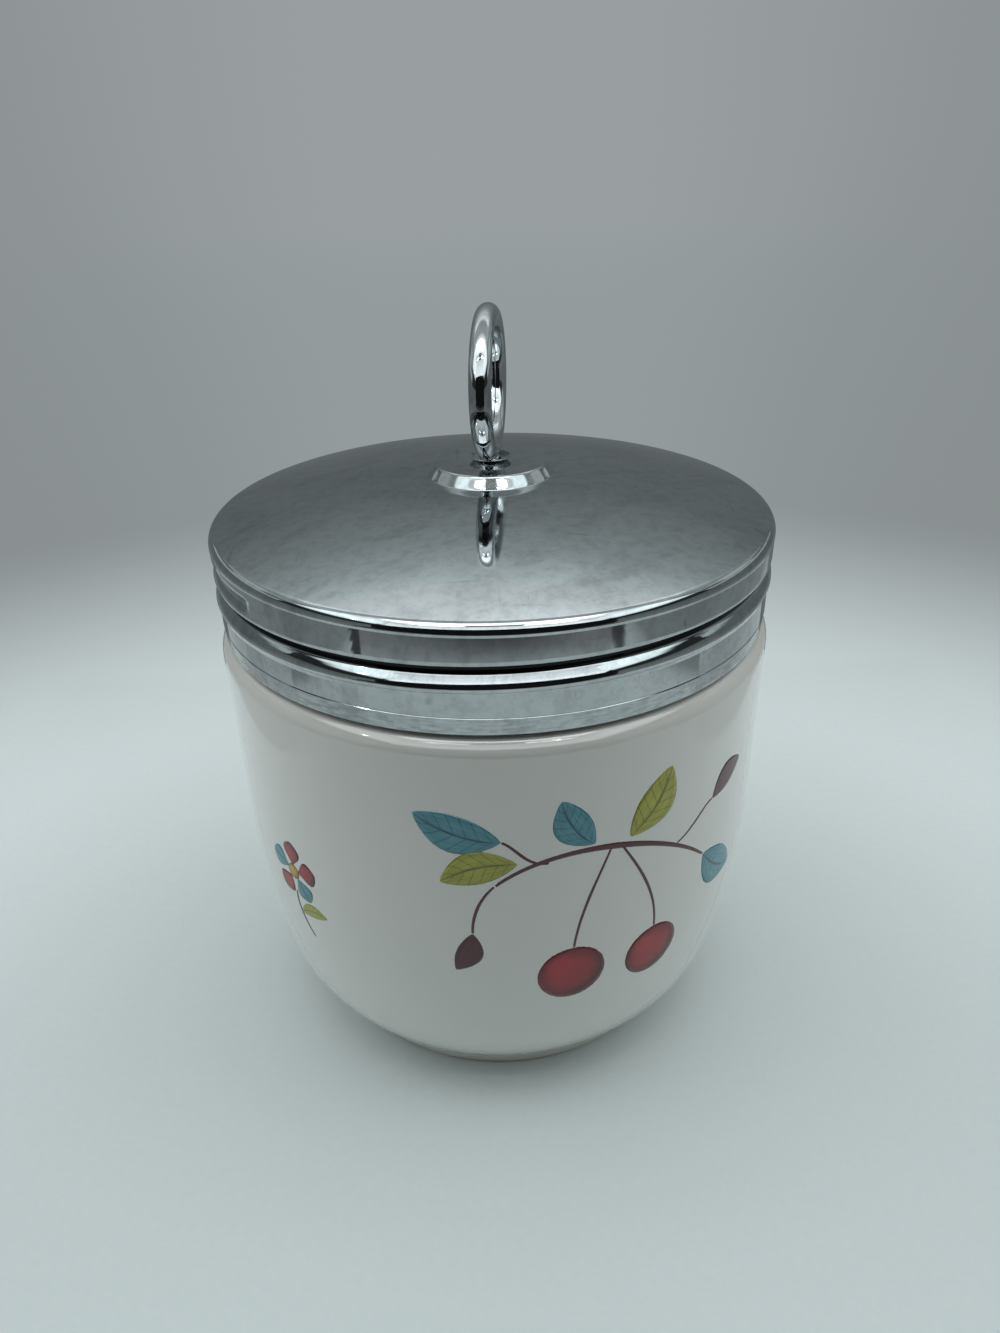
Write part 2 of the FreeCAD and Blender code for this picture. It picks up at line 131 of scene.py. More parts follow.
class Tree:
    """Adds nodes to a shader, world or geometry node tree."""

    def __init__(self, node_tree: bpy.types.NodeTree) -> None:
        """Take over a node tree, emptied of what it holds."""
        self.nodes, self.links = node_tree.nodes, node_tree.links
        self.nodes.clear()

    def add(
        self, kind: str, sockets: dict[str | int, object] | None = None, **settings: object
    ) -> Wire:
        """Add a node.

        Args:
            kind: The node's type name.
            sockets: Values or wires for the inputs, by name or number. A list holds the wires
                of an input that takes several.
            settings: Properties that are set first. The stops are a colour ramp's and the
                points a curve's.

        Returns:
            The node's first output.
        """
        node = self.nodes.new(kind)
        for name, value in settings.items():
            if name == "stops":
                self.set_stops(node.color_ramp, value)
            elif name == "points":
                self.set_points(node.mapping, value)
            else:
                setattr(node, name, value)
        for name, value in (sockets or {}).items():
            wires = value if isinstance(value, list) else [value]
            if isinstance(wires[0], Wire):
                for wire in wires:
                    self.links.new(wire.socket, node.inputs[name])
            else:
                node.inputs[name].default_value = value
        return Wire(self, node.outputs[0])

    @staticmethod
    def set_stops(ramp: bpy.types.ColorRamp, stops: Sequence[tuple[float, Colour]]) -> None:
        """Give a colour ramp its stops.

        Args:
            ramp: The ramp.
            stops: Places from 0 to 1, in order, and their colours.
        """
        while len(ramp.elements) < len(stops):
            ramp.elements.new(1.0)
        for element, (place, colour) in zip(ramp.elements, stops):
            element.position = place
            element.color = colour

    @staticmethod
    def set_points(mapping: bpy.types.CurveMapping, points: Sequence[Place]) -> None:
        """Give a curve its points.

        Args:
            mapping: What holds the curve.
            points: The points, from left to right.
        """
        curve = mapping.curves[0]
        while len(curve.points) < len(points):
            curve.points.new(1.0, 1.0)
        for point, place in zip(curve.points, points):
            point.location = place
        mapping.update()

    def end(self, kind: str, value: Wire) -> None:
        """Add an output node and lead a value or shader to its first input."""
        self.links.new(value.socket, self.nodes.new(kind).inputs[0])

    def maths(self, operation: str, *values: Value) -> Wire:
        """Return the result of a Math node."""
        return self.add("ShaderNodeMath", dict(enumerate(values)), operation=operation)

    def length(self, x: Wire, y: Wire) -> Wire:
        """Return the length of a flat vector."""
        return self.maths("SQRT", x * x + y * y)

    def steps(self, value: Wire, low: float, high: float) -> Wire:
        """Return a smooth rise from 0 at low to 1 at high."""
        sockets = {"Value": value, "From Min": low, "From Max": high}
        return self.add("ShaderNodeMapRange", sockets, interpolation_type="SMOOTHSTEP")

    def band(self, value: Wire, rise: Place, fall: Place) -> Wire:
        """Return a smooth rise from 0 to 1 and a fall back to 0, each between two values."""
        return self.steps(value, *rise) * (1 - self.steps(value, *fall))

    def parts(self, vector: Wire) -> tuple[Wire, Wire, Wire]:
        """Split a vector into its three numbers."""
        x = self.add("ShaderNodeSeparateXYZ", {"Vector": vector})
        return x, x.out("Y"), x.out("Z")

    def join(self, x: Value, y: Value, z: Value) -> Wire:
        """Make a vector of three numbers."""
        return self.add("ShaderNodeCombineXYZ", {"X": x, "Y": y, "Z": z})

    def screw_line(self, place: Wire, height: Value, pitch: Value) -> tuple[Wire, Wire, Wire]:
        """Measure a place against the nearest turn of a right-hand screw line round Z.

        Args:
            place: The place.
            height: Where the line passes the front.
            pitch: How far one turn climbs.

        Returns:
            How far the place is above the line, the line's bearing there in radians counted
            from the front over all its turns, and the place's distance from the axis.
        """
        x, y, z = self.parts(place)
        bearing = self.maths("ARCTAN2", x, -y)
        turns = self.maths("ROUND", (z - height) / pitch - bearing / TAU)
        climbed = bearing + turns * TAU
        return z - height - pitch * climbed / TAU, climbed, self.length(x, y)

    def mix(self, factor: Value, low: Wire | Colour, high: Wire | Colour) -> Wire:
        """Blend two colours."""
        return self.add("ShaderNodeMix", {0: factor, 6: low, 7: high}, data_type="RGBA").out(2)

    def blend(self, factor: Wire, first: Wire, second: Wire) -> Wire:
        """Blend two shaders."""
        return self.add("ShaderNodeMixShader", {0: factor, 1: first, 2: second})

    def noise(self, vector: Wire, scale: float, detail: float = 2.0, rough: float = 0.5) -> Wire:
        """Return a noise texture's value, about 0.5 on average."""
        sockets = {"Vector": vector, "Scale": scale, "Detail": detail, "Roughness": rough}
        return self.add("ShaderNodeTexNoise", sockets)


class SurfaceTree(Tree):
    """The node tree of one material."""

    def __init__(self, name: str) -> None:
        """Start a material with an empty tree.

        Args:
            name: The material's name.
        """
        self.material = bpy.data.materials.new(name)
        self.material.use_nodes = True
        super().__init__(self.material.node_tree)
        self.place = self.add("ShaderNodeTexCoord").out("Object")

    def stretched(self, scale: Point) -> Wire:
        """Return the object's coordinates multiplied along each axis."""
        return self.add("ShaderNodeMapping", {"Vector": self.place, "Scale": scale})

    def specks(self, scale: float, fade: Place, rarity: float) -> Wire:
        """Scatter round specks.

        Args:
            scale: The scale of the texture whose cells hold them.
            fade: How far from its middle a speck begins and ends to fade.
            rarity: The share of the cells that hold none.

        Returns:
            The specks as a mask.
        """
        cells = self.add("ShaderNodeTexVoronoi", {"Vector": self.place, "Scale": scale})
        chance = self.parts(cells.out("Color"))[0]
        return (1 - self.steps(cells, *fade)) * (chance > rarity)

    def bump(self, height: Wire, distance: float) -> Wire:
        """Return a normal for a height between 0 and 1 that stands for a distance."""
        return self.add("ShaderNodeBump", {"Height": height, "Distance": distance, "Strength": 1.0})

    def show(self, shader: Wire) -> Material:
        """Finish the material with a shader and return it."""
        self.end("ShaderNodeOutputMaterial", shader)
        return self.material

    def close(self, sockets: dict[str, object]) -> Material:
        """Finish the material with a Principled surface and return it."""
        return self.show(self.add("ShaderNodeBsdfPrincipled", sockets))


class GeometryTree(Tree):
    """A Geometry Nodes tree with named inputs."""

    def __init__(self, name: str) -> None:
        """Start a tree that takes and gives geometry.

        Args:
            name: The node group's name.
        """
        self.group = bpy.data.node_groups.new(name, "GeometryNodeTree")
        super().__init__(self.group)
        for side in ("INPUT", "OUTPUT"):
            self.group.interface.new_socket(
                "Geometry", in_out=side, socket_type="NodeSocketGeometry"
            )
        self.geometry = self.add("NodeGroupInput")

    def number(self, name: str, kind: str = "Float") -> Wire:
        """Add a named input of a kind such as Float, Int or Material and return it."""
        self.group.interface.new_socket(name, in_out="INPUT", socket_type=f"NodeSocket{kind}")
        return self.geometry.out(name)

    def close(self, geometry: Wire) -> "GeometryTree":
        """Realize, shade smooth and dress the geometry, and hand it out.

        Args:
            geometry: What the tree makes.

        Returns:
            The finished tree.
        """
        material = self.number("Material", "Material")
        for kind in ("GeometryNodeRealizeInstances", "GeometryNodeSetShadeSmooth"):
            geometry = self.add(kind, {"Geometry": geometry})
        sockets = {"Geometry": geometry, "Material": material}
        self.end("NodeGroupOutput", self.add("GeometryNodeSetMaterial", sockets))
        return self

    def run_on(self, piece: Piece, **values: object) -> None:
        """Run the tree on an object.

        Args:
            piece: The object that gets the modifier.
            values: The inputs, by their names in lower case with underscores.
        """
        modifier = piece.modifiers.new(self.group.name, "NODES")
        modifier.node_group = self.group
        for item in self.group.interface.items_tree:
            key = item.name.lower().replace(" ", "_")
            if item.in_out == "INPUT" and key in values:
                modifier[item.identifier] = values[key]


# Trees that make the turned, threaded and bent pieces


def turning_tree() -> GeometryTree:
    """Build the tree that turns an outline, a chain of points in the XZ plane, about Z.

    Returns:
        The tree.
    """
    tree = GeometryTree("turn_outline")
    segments, weld = tree.number("Segments", "Int"), tree.number("Weld")
    chain = {"Geometry": tree.geometry}
    rows = tree.add("GeometryNodeAttributeDomainSize", chain, component="MESH")
    grid = tree.add("GeometryNodeMeshGrid", {"Vertices X": segments + 1, "Vertices Y": rows})
    index = tree.add("GeometryNodeInputIndex")
    column = tree.maths("FLOOR", index / rows)
    sample = {
        **chain, "Value": tree.add("GeometryNodeInputPosition"), "Index": index - column * rows
    }
    outline = tree.add("GeometryNodeSampleIndex", sample, data_type="FLOAT_VECTOR")
    radius, _, height = tree.parts(outline)
    bearing = column / segments * TAU
    turned = tree.join(
        radius * tree.maths("COSINE", bearing), radius * tree.maths("SINE", bearing), height
    )
    placed = tree.add("GeometryNodeSetPosition", {"Geometry": grid, "Position": turned})
    sockets = {"Geometry": placed, "Distance": weld}
    return tree.close(tree.add("GeometryNodeMergeByDistance", sockets))


def screw_relief_tree(name: str, section: Sequence[Place]) -> GeometryTree:
    """Build a tree that raises or sinks a wall along a screw line round Z.

    Args:
        name: The tree's name.
        section: The relief across the line, as places from 0 to 1 upwards and heights.

    Returns:
        The tree.
    """
    tree = GeometryTree(name)
    names = ("Pitch", "Front Height", "Low Bearing", "Top Bearing", "Section Low")
    pitch, front_height, low, top, section_low = map(tree.number, names)
    names = ("Section High", "Relief", "Least", "Fade", "Inner Radius", "Outer Radius")
    section_high, relief, least, fade, inner, outer = map(tree.number, names)
    here = tree.add("GeometryNodeInputPosition")
    x, y, _ = tree.parts(here)
    across, climbed, radius = tree.screw_line(here, front_height, pitch)
    inside = tree.maths("MINIMUM", climbed - low, top - climbed) * radius
    past = tree.maths("MINIMUM", inside, 0.0)
    away = tree.maths("SQRT", across * across + past * past + 1e-14)
    upper_share = across / away * 0.5 + 0.5

    def height_at(offset: Wire) -> Wire:
        """Return the section's height at an offset across the line."""
        place = (offset - section_low) / (section_high - section_low)
        return tree.add("ShaderNodeFloatCurve", {"Value": place}, points=section)

    height = height_at(away) * upper_share + height_at(-away) * (1 - upper_share)
    fading = tree.steps(inside / fade, 0.0, 1.0)
    on_wall = (radius > inner) * (radius < outer)
    beside = tree.maths("ABSOLUTE", away) < section_high
    amount = (height * relief + least) * fading * on_wall * beside / radius
    sockets = {"Geometry": tree.geometry, "Offset": tree.join(x * amount, y * amount, 0.0)}
    return tree.close(tree.add("GeometryNodeSetPosition", sockets))


def wire_ring_tree() -> GeometryTree:
    """Build the tree that adds a closed ring of round wire in the YZ plane.

    Returns:
        The tree.
    """
    tree = GeometryTree("wire_ring")
    circles = [
        tree.add("GeometryNodeCurvePrimitiveCircle", {"Resolution": steps, "Radius": radius})
        for steps, radius in (
            (tree.number("Steps", "Int"), tree.number("Ring Radius")),
            (tree.number("Section Steps", "Int"), tree.number("Wire Radius")),
        )
    ]
    sockets = dict(zip(("Curve", "Profile Curve"), circles))
    stood = tree.add("GeometryNodeTransform", {
        "Geometry": tree.add("GeometryNodeCurveToMesh", sockets),
        "Translation": tree.join(0.0, 0.0, tree.number("Height")),
        "Rotation": tree.join(0.0, TAU / 4, tree.number("Turn")),
    })
    return tree.close(tree.add("GeometryNodeJoinGeometry", {0: [stood, tree.geometry]}))


# Outlines and meshes


@dataclass
class Corner:
    """A corner of an outline, in millimetres: how round it is and how the way to it is cut.

    The cuts of a way crowd towards both its ends unless they are even.
    """

    distance: float
    height: float
    rounding: float = 0.0
    cuts: int = 1
    even: bool = False

    @property
    def place(self) -> np.ndarray:
        """The corner as a pair: distance from the axis and height."""
        return np.array((self.distance, self.height))


class Outline:
    """A chain of corners beside the axis that becomes an outline for turning."""

    CHORD = 11.0

    def __init__(self, start: Place) -> None:
        """Start at a place, in millimetres."""
        self.corners = [Corner(*start)]

    def run(self, *corners: Sequence[float]) -> "Outline":
        """Go straight from corner to corner, each given as the values of a Corner."""
        self.corners.extend(Corner(*corner) for corner in corners)
        return self

    def bend(self, centre: Place, end: Place, cuts: int, rounding: float = 0.0) -> "Outline":
        """Go round a centre.

        Args:
            centre: The centre.
            end: Where the arc ends.
            cuts: How many straight ways make it.
            rounding: How round the corner at its end is.

        Returns:
            The outline.
        """
        last = self.corners[-1]
        radius = math.dist((last.distance, last.height), centre)
        first = math.atan2(last.height - centre[1], last.distance - centre[0])
        sweep = math.atan2(end[1] - centre[1], end[0] - centre[0]) - first
        sweep = (sweep + math.pi) % TAU - math.pi
        for cut in range(1, cuts):
            angle = first + sweep * cut / cuts
            self.run((centre[0] + radius * math.cos(angle), centre[1] + radius * math.sin(angle)))
        return self.run((*end, rounding))

    def points(self) -> list[Place]:
        """Cut the outline's round corners and its ways into short chords.

        Returns:
            The outline's points.
        """
        runs: list[list[np.ndarray]] = []
        for index, corner in enumerate(self.corners):
            if corner.rounding and 0 < index < len(self.corners) - 1:
                before, after = self.corners[index - 1], self.corners[index + 1]
                runs.append(self.round_off(before.place, corner, after.place))
            else:
                runs.append([corner.place])
        chain = list(runs[0])
        for corner, previous, run in zip(self.corners[1:], runs, runs[1:]):
            for cut in range(1, corner.cuts):
                share = cut / corner.cuts
                share = share if corner.even else (1 - math.cos(math.pi * share)) / 2
                chain.append(previous[-1] + (run[0] - previous[-1]) * share)
            chain.extend(run)
        return [(float(place[0]), float(place[1])) for place in chain]

    @classmethod
    def round_off(cls, before: np.ndarray, corner: Corner, after: np.ndarray) -> list[np.ndarray]:
        """Round a corner off.

        Args:
            before: The place before it.
            corner: The corner.
            after: The place after it.

        Returns:
            The points of the arc.
        """
        arrive = (before - corner.place) / np.linalg.norm(before - corner.place)
        leave = (after - corner.place) / np.linalg.norm(after - corner.place)
        opening = math.acos(float(np.clip(arrive @ leave, -1, 1)))
        reach = corner.rounding / math.tan(opening / 2)
        middle = arrive + leave
        centre = corner.place + middle / np.linalg.norm(middle) * math.hypot(reach, corner.rounding)
        spoke = corner.place + arrive * reach - centre
        turn = math.pi - opening
        side = 1 if arrive[0] * leave[1] - arrive[1] * leave[0] < 0 else -1
        chords = max(3, math.ceil(math.degrees(turn) / cls.CHORD))
        arc = []
        for chord in range(chords + 1):
            angle = side * turn * chord / chords
            cosine, sine = math.cos(angle), math.sin(angle)
            arc.append(centre + (spoke[0] * cosine - spoke[1] * sine,
                                 spoke[0] * sine + spoke[1] * cosine))
        return arc


def add_object(name: str, mesh: bpy.types.Mesh) -> Piece:
    """Put a mesh into the scene as an object at the origin.

    Args:
        name: The object's name.
        mesh: The mesh.

    Returns:
        The object.
    """
    piece = bpy.data.objects.new(name, mesh)
    bpy.context.scene.collection.objects.link(piece)
    return piece


@dataclass(frozen=True)
class Lathe:
    """Turns outlines in a material; it holds the tree that does so."""

    tree: GeometryTree
    material: Material

    def turn(self, name: str, outline: Outline, segments: int) -> Piece:
        """Start a piece that is an outline turned about Z.

        Args:
            name: The piece's name.
            outline: The outline.
            segments: How many flat sides it gets.

        Returns:
            The piece, with the turning as a modifier.
        """
        points = [(distance * MM, 0.0, height * MM) for distance, height in outline.points()]
        mesh = bpy.data.meshes.new(name)
        mesh.from_pydata(points, [(step, step + 1) for step in range(len(points) - 1)], [])
        piece = add_object(name, mesh)
        self.tree.run_on(piece, segments=segments, weld=TURNING_WELD, material=self.material)
        return piece


def report(piece: Piece) -> None:
    """Log a finished piece and its number of triangles."""
    triangles = sum(len(face.vertices) - 2 for face in piece.data.polygons)
    LOG.info("%s: %d triangles", piece.name, triangles)


def settle(piece: Piece) -> None:
    """Turn what an object's modifiers make into its plain, smooth mesh with faces outwards.

    Args:
        piece: The object.
    """
    graph = bpy.context.evaluated_depsgraph_get()
    mesh = bpy.data.meshes.new_from_object(piece.evaluated_get(graph))
    piece.modifiers.clear()
    piece.data = mesh
    form = bmesh.new()
    form.from_mesh(mesh)
    bmesh.ops.remove_doubles(form, verts=form.verts, dist=SAME_PLACE)
    bmesh.ops.recalc_face_normals(form, faces=form.faces)
    form.to_mesh(mesh)
    form.free()
    mesh.name = piece.name
    report(piece)


# Finishes


@dataclass(frozen=True)
class GlazedPorcelain:
    """White porcelain under a clear glaze, bare where the foot was wiped before firing."""

    body: Colour = tint(228, 227, 221)
    bare: Colour = tint(214, 210, 200)
    bare_height: float = 0.7 * MM
    glaze_roughness: float = 0.045
    bare_roughness: float = 0.62
    ripple: float = 0.012 * MM
    ripple_scale: float = 160.0
    speck: Colour = tint(120, 112, 100)
    speck_scale: float = 260.0
    speck_fade: Place = (0.02, 0.035)
    speckless: float = 0.985
    cloud_scale: float = 30.0
    body_index: float = 1.52
    glaze_index: float = 1.6
    coat_roughness: float = 0.03

    def material(self) -> Material:
        """Build the material.

        Returns:
            The material.
        """
        tree = SurfaceTree("glazed_porcelain")
        height = tree.parts(tree.place)[2]
        glazed = tree.steps(height, self.bare_height, self.bare_height * 1.5)
        speck = tree.specks(self.speck_scale, self.speck_fade, self.speckless)
        cloud = tree.noise(tree.place, self.cloud_scale)
        shade = tree.mix(cloud * 0.25, self.body, self.bare)
        rough = self.bare_roughness + (self.glaze_roughness - self.bare_roughness) * glazed
        wave = tree.noise(tree.place, self.ripple_scale, 1.0)
        return tree.close({
            "Base Color": tree.mix(glazed, self.bare, tree.mix(speck * 0.5, shade, self.speck)),
            "Roughness": rough + (cloud - 0.5) * 0.02,
            "IOR": self.body_index,
            "Coat Weight": glazed,
            "Coat Roughness": self.coat_roughness,
            "Coat IOR": self.glaze_index,
            "Normal": tree.bump(wave, self.ripple),
        })


@dataclass(frozen=True)
class PolishedPlate:
    """Bright plated metal with a light haze, specks and the fine scratches of use."""

    name: str
    metal: Colour
    roughness: float
    haze: float
    scratch: float
    dull_share: float = 0.6
    # The share of the metal's colour that is left under painted shade.
    painted_shade_share: float = 0.03
    relief: float = 0.0006 * MM
    cloud_scale: float = 55.0
    smear_fade: Place = (0.45, 0.64)
    wipe_fade: Place = (0.5, 0.64)
    scratch_grains: tuple[Point, Point] = ((1100.0, 70.0, 300.0), (80.0, 1300.0, 300.0))
    scratch_fade: Place = (0.68, 0.8)
    fleck_scale: float = 700.0
    fleck_fade: Place = (0.42, 0.66)
    pit_scale: float = 190.0
    pit_fade: Place = (0.03, 0.07)
    pitless: float = 0.93

    def wear_and_shade(self, tree: SurfaceTree) -> tuple[Value, Value, Value]:
        """Return how much more is dull, rough and darkened by painted shade in places: none on a
        plain plate.
        """
        return 0.0, 0.0, 0.0

    def material(self) -> Material:
        """Build the material.

        Returns:
            The material.
        """
        tree = SurfaceTree(self.name)
        cloud = tree.noise(tree.place, self.cloud_scale, 4.0, 0.62)
        grains = [tree.noise(tree.stretched(grain), 1.0) for grain in self.scratch_grains]
        marks = tree.steps(tree.maths("MAXIMUM", *grains), *self.scratch_fade)
        smear = tree.steps(cloud, *self.smear_fade)
        fleck = tree.steps(tree.noise(tree.place, self.fleck_scale, 3.0, 0.7), *self.fleck_fade)
        pit = tree.specks(self.pit_scale, self.pit_fade, self.pitless)
        x, y, z = tree.parts(tree.place)
        leaning = tree.join(x * 60 + y * 34, y * 170 - x * 96, z * 60)
        wiped = tree.steps(tree.noise(leaning, 1.0, 5.0, 0.7), *self.wipe_fade)
        # Painted shade: the third mask from the plate's wear darkens the colour below to a small
        # share of the metal's.
        worn, worn_rough, painted_shade = self.wear_and_shade(tree)
        dull = smear * 0.35 + wiped * 0.35 + marks * 0.6 + fleck * 0.3 + pit + worn
        rough = self.roughness + (smear + wiped) * self.haze + marks * self.scratch + pit * 0.2
        dulled = dimmed(self.metal, self.dull_share)
        colour = tree.mix(tree.maths("MINIMUM", dull, 1.0), self.metal, dulled)
        return tree.close({
            "Base Color": tree.mix(painted_shade, colour, dimmed(self.metal, self.painted_shade_share)),
            "Metallic": 1.0,
            "Roughness": rough + worn_rough,
            "Normal": tree.bump(marks + cloud * 2, self.relief),
        })


@dataclass(frozen=True)
class LidPlate(PolishedPlate):
    """The lid's plate: worn along its hem and darkened by painted shade in its rolled groove, in
    millimetres.
    """

    hem_height: float = 69.4
    hem_fade: float = 0.15
    hem_grain: Point = (500.0, 500.0, 2600.0)
    hem_wear: Place = (0.3, 0.75)
    groove_height: float = 75.65
    groove_pitch: float = 3.0
    groove_foot: Place = (-0.68, -0.58)
    groove_head: Place = (0.5, 0.62)
    groove_mouth: Place = (39.4, 39.7)
    # Bearings between which the groove gets its painted shade.
    shade_start: Place = (-120.0, -90.0)
    shade_end: Place = (150.0, 270.0)

    def wear_and_shade(self, tree: SurfaceTree) -> tuple[Value, Value, Value]:
        """Wear the hem and paint shade into the groove, nearly black, between two bearings along
        it.

        Args:
            tree: The material's tree.

        Returns:
            How much more is dull, rough and darkened by painted shade.
        """
        foot, head, mouth = (
            tuple(limit * MM for limit in limits)
            for limits in (self.groove_foot, self.groove_head, self.groove_mouth)
        )
        start, end = (tuple(map(math.radians, span)) for span in (self.shade_start, self.shade_end))
        height = tree.parts(tree.place)[2]
        hem = 1 - tree.steps(height, (self.hem_height - self.hem_fade) * MM, self.hem_height * MM)
        grain = tree.noise(tree.stretched(self.hem_grain), 1.0, 3.0)
        worn = hem * tree.steps(grain, *self.hem_wear)
        across, climbed, radius = tree.screw_line(
            tree.place, self.groove_height * MM, self.groove_pitch * MM
        )
        sunk = 1 - tree.steps(radius, *mouth)
        # Painted shade: the groove's recess, where shade falls, is darkened nearly to black in the
        # base colour.
        painted_shade = tree.band(across, foot, head) * sunk * tree.band(climbed, start, end)
        return worn * 0.6, hem * 0.05 + worn * 0.16, painted_shade


@dataclass(frozen=True)
class RolledMetal:
    """Plain rolled metal with fine parallel grain, as on a washer that nobody sees."""

    metal: Colour = tint(176, 178, 180)
    dull_share: float = 0.6
    grain: Point = (80.0, 2200.0, 2200.0)
    roughness: float = 0.28
    relief: float = 0.002 * MM

    def material(self) -> Material:
        """Build the material.

        Returns:
            The material.
        """
        tree = SurfaceTree("rolled_metal")
        grain = tree.noise(tree.stretched(self.grain), 1.0, 3.0)
        return tree.close({
            "Base Color": tree.mix(grain, dimmed(self.metal, self.dull_share), self.metal),
            "Metallic": 1.0,
            "Roughness": self.roughness + grain * 0.2,
            "Normal": tree.bump(grain, self.relief),
        })


class Stroke(Enum):
    """How a painter lays an enamel down."""

    LEAF = "leaf"
    ROUND = "round"
    LINE = "line"


@dataclass(frozen=True)
class Enamel:
    """A fired-on enamel colour, brushed along the motif that it fills."""

    name: str
    light: Colour
    deep: Colour
    stroke: Stroke
    index: float = 1.52
    roughness: float = 0.12
    relief: float = 0.01 * MM

    def material(self) -> Material:
        """Build the material from each motif's own coordinates, along and across it.

        Returns:
            The material.
        """
        tree = SurfaceTree(self.name)
        along, across, _ = tree.parts(tree.add("ShaderNodeUVMap", uv_map="motif"))
        side = tree.maths("ABSOLUTE", across * 2 - 1)
        hair = tree.noise(tree.join(along * 3, across * 26, 0.0), 1.0)
        pool = tree.noise(tree.place, 420.0)
        if self.stroke is Stroke.LEAF:
            rib = 1 - tree.steps(side, 0.03, 0.09)
            lean = tree.maths("FRACT", along * 7 - side * 1.3)
            vein = (1 - tree.steps(tree.maths("ABSOLUTE", lean - 0.5), 0.03, 0.1)) * 0.6
            edge = tree.steps(side, 0.8, 1.0)
            depth = tree.maths("MAXIMUM", tree.maths("MAXIMUM", rib, vein), edge)
            depth = depth * 0.75 + tree.steps(hair, 0.35, 0.7) * 0.45
        elif self.stroke is Stroke.ROUND:
            x, y = along * 2 - 1, across * 2 - 1
            glint = 1 - tree.steps(tree.length(x + 0.35, y - 0.38), 0.05, 0.5)
            rim = tree.steps(tree.length(x, y), 0.45, 1.0)
            depth = rim * 0.7 + tree.steps(x - y, 0.0, 1.5) * 0.5 + pool * 0.35 - glint * 0.6
        else:
            depth = hair * 0.8 + tree.steps(side, 0.5, 1.0) * 0.4
        return tree.close({
            "Base Color": tree.mix(tree.maths("MINIMUM", depth, 1.0), self.light, self.deep),
            "Roughness": self.roughness + pool * 0.1,
            "IOR": self.index,
            "Normal": tree.bump(hair, self.relief),
        })


# Sub-assemblies


@dataclass
class ScrewRelief:
    """A ridge, groove or bead along the lid's screw line, in millimetres and degrees.

    The section goes upwards across the line: heights above the line and reliefs of the wall.
    """

    name: str
    section: tuple[Place, ...]
    start: float
    turns: float
    fade: float
    rise: float = 0.0
    pitch: float = 3.0
    groove_height: float = 75.65

    def roll(self, piece: Piece, wall: Place, material: Material) -> None:
        """Roll the relief into a piece.

        Args:
            piece: The piece.
            wall: The distances from the axis between which its wall lies.
            material: The piece's material.
        """
        low, high = self.section[0][0], self.section[-1][0]
        middle, span = (low + high) / 2, high - low
        reliefs = [relief for _, relief in self.section]
        least = min(reliefs)
        size = max(reliefs) - least
        points = [((u - low) / span, (relief - least) / size) for u, relief in self.section]
        screw_relief_tree(self.name, points).run_on(
            piece,
            pitch=self.pitch * MM,
            front_height=(self.groove_height + self.rise + middle) * MM,
            low_bearing=math.radians(self.start),
            top_bearing=math.radians(self.start + 360 * self.turns),
            section_low=-span / 2 * MM,
            section_high=span / 2 * MM,
            relief=size * MM,
            least=least * MM,
            fade=self.fade * MM,
            inner_radius=wall[0] * MM,
            outer_radius=wall[1] * MM,
            material=material,
        )


def both_sides(half: Sequence[Place]) -> tuple[Place, ...]:
    """Return a section that is the same above and below its line, given from the line up."""
    return (*((-height, relief) for height, relief in half[:0:-1]), *half)


LID_GROOVE = ScrewRelief(
    "rolled_groove",
    ((-1.8, 0.0), (-1.7, -0.015), (-1.5, -0.055), (-1.4, -0.085), (-1.3, -0.13), (-1.2, -0.18),
     (-1.0, -0.302), (-0.8, -0.465), (-0.7, -0.54), (-0.6, -0.565), (-0.5, -0.578),
     (-0.3, -0.638), (0.1, -0.738), (0.24, -0.752), (0.33, -0.69), (0.42, -0.52),
     (0.52, -0.29), (0.62, -0.13), (0.8, -0.045), (1.0, -0.012), (1.15, 0.0)),
    start=-120.0, turns=1.195, fade=0.6,
)
LID_BEAD = ScrewRelief(
    "rolled_bead",
    ((-3.2, 0.0), (-2.95, 0.07), (-2.7, 0.2), (-2.4, 0.315), (-2.25, 0.33), (-2.1, 0.318),
     (-1.95, 0.293), (-1.82, 0.262), (-1.7, 0.225), (-1.5, 0.155), (-1.3, 0.09), (-1.1, 0.035),
     (-0.9, 0.005), (-0.8, 0.0)),
    start=-120.0, turns=0.8, fade=6.0,
)
LID_RIDGE = ScrewRelief(
    "inner_ridge",
    both_sides(((0.0, -1.0), (0.2, -0.96), (0.5, -0.6), (0.8, -0.06), (0.95, 0.0))),
    start=-120.0, turns=1.2, fade=0.5,
)
NECK_RIDGE = ScrewRelief(
    "neck_ridge",
    both_sides(((0.0, 0.8), (0.15, 0.77), (0.4, 0.5), (0.65, 0.05), (0.8, 0.0))),
    start=-270.0, turns=1.25, fade=4.0, rise=1.2,
)


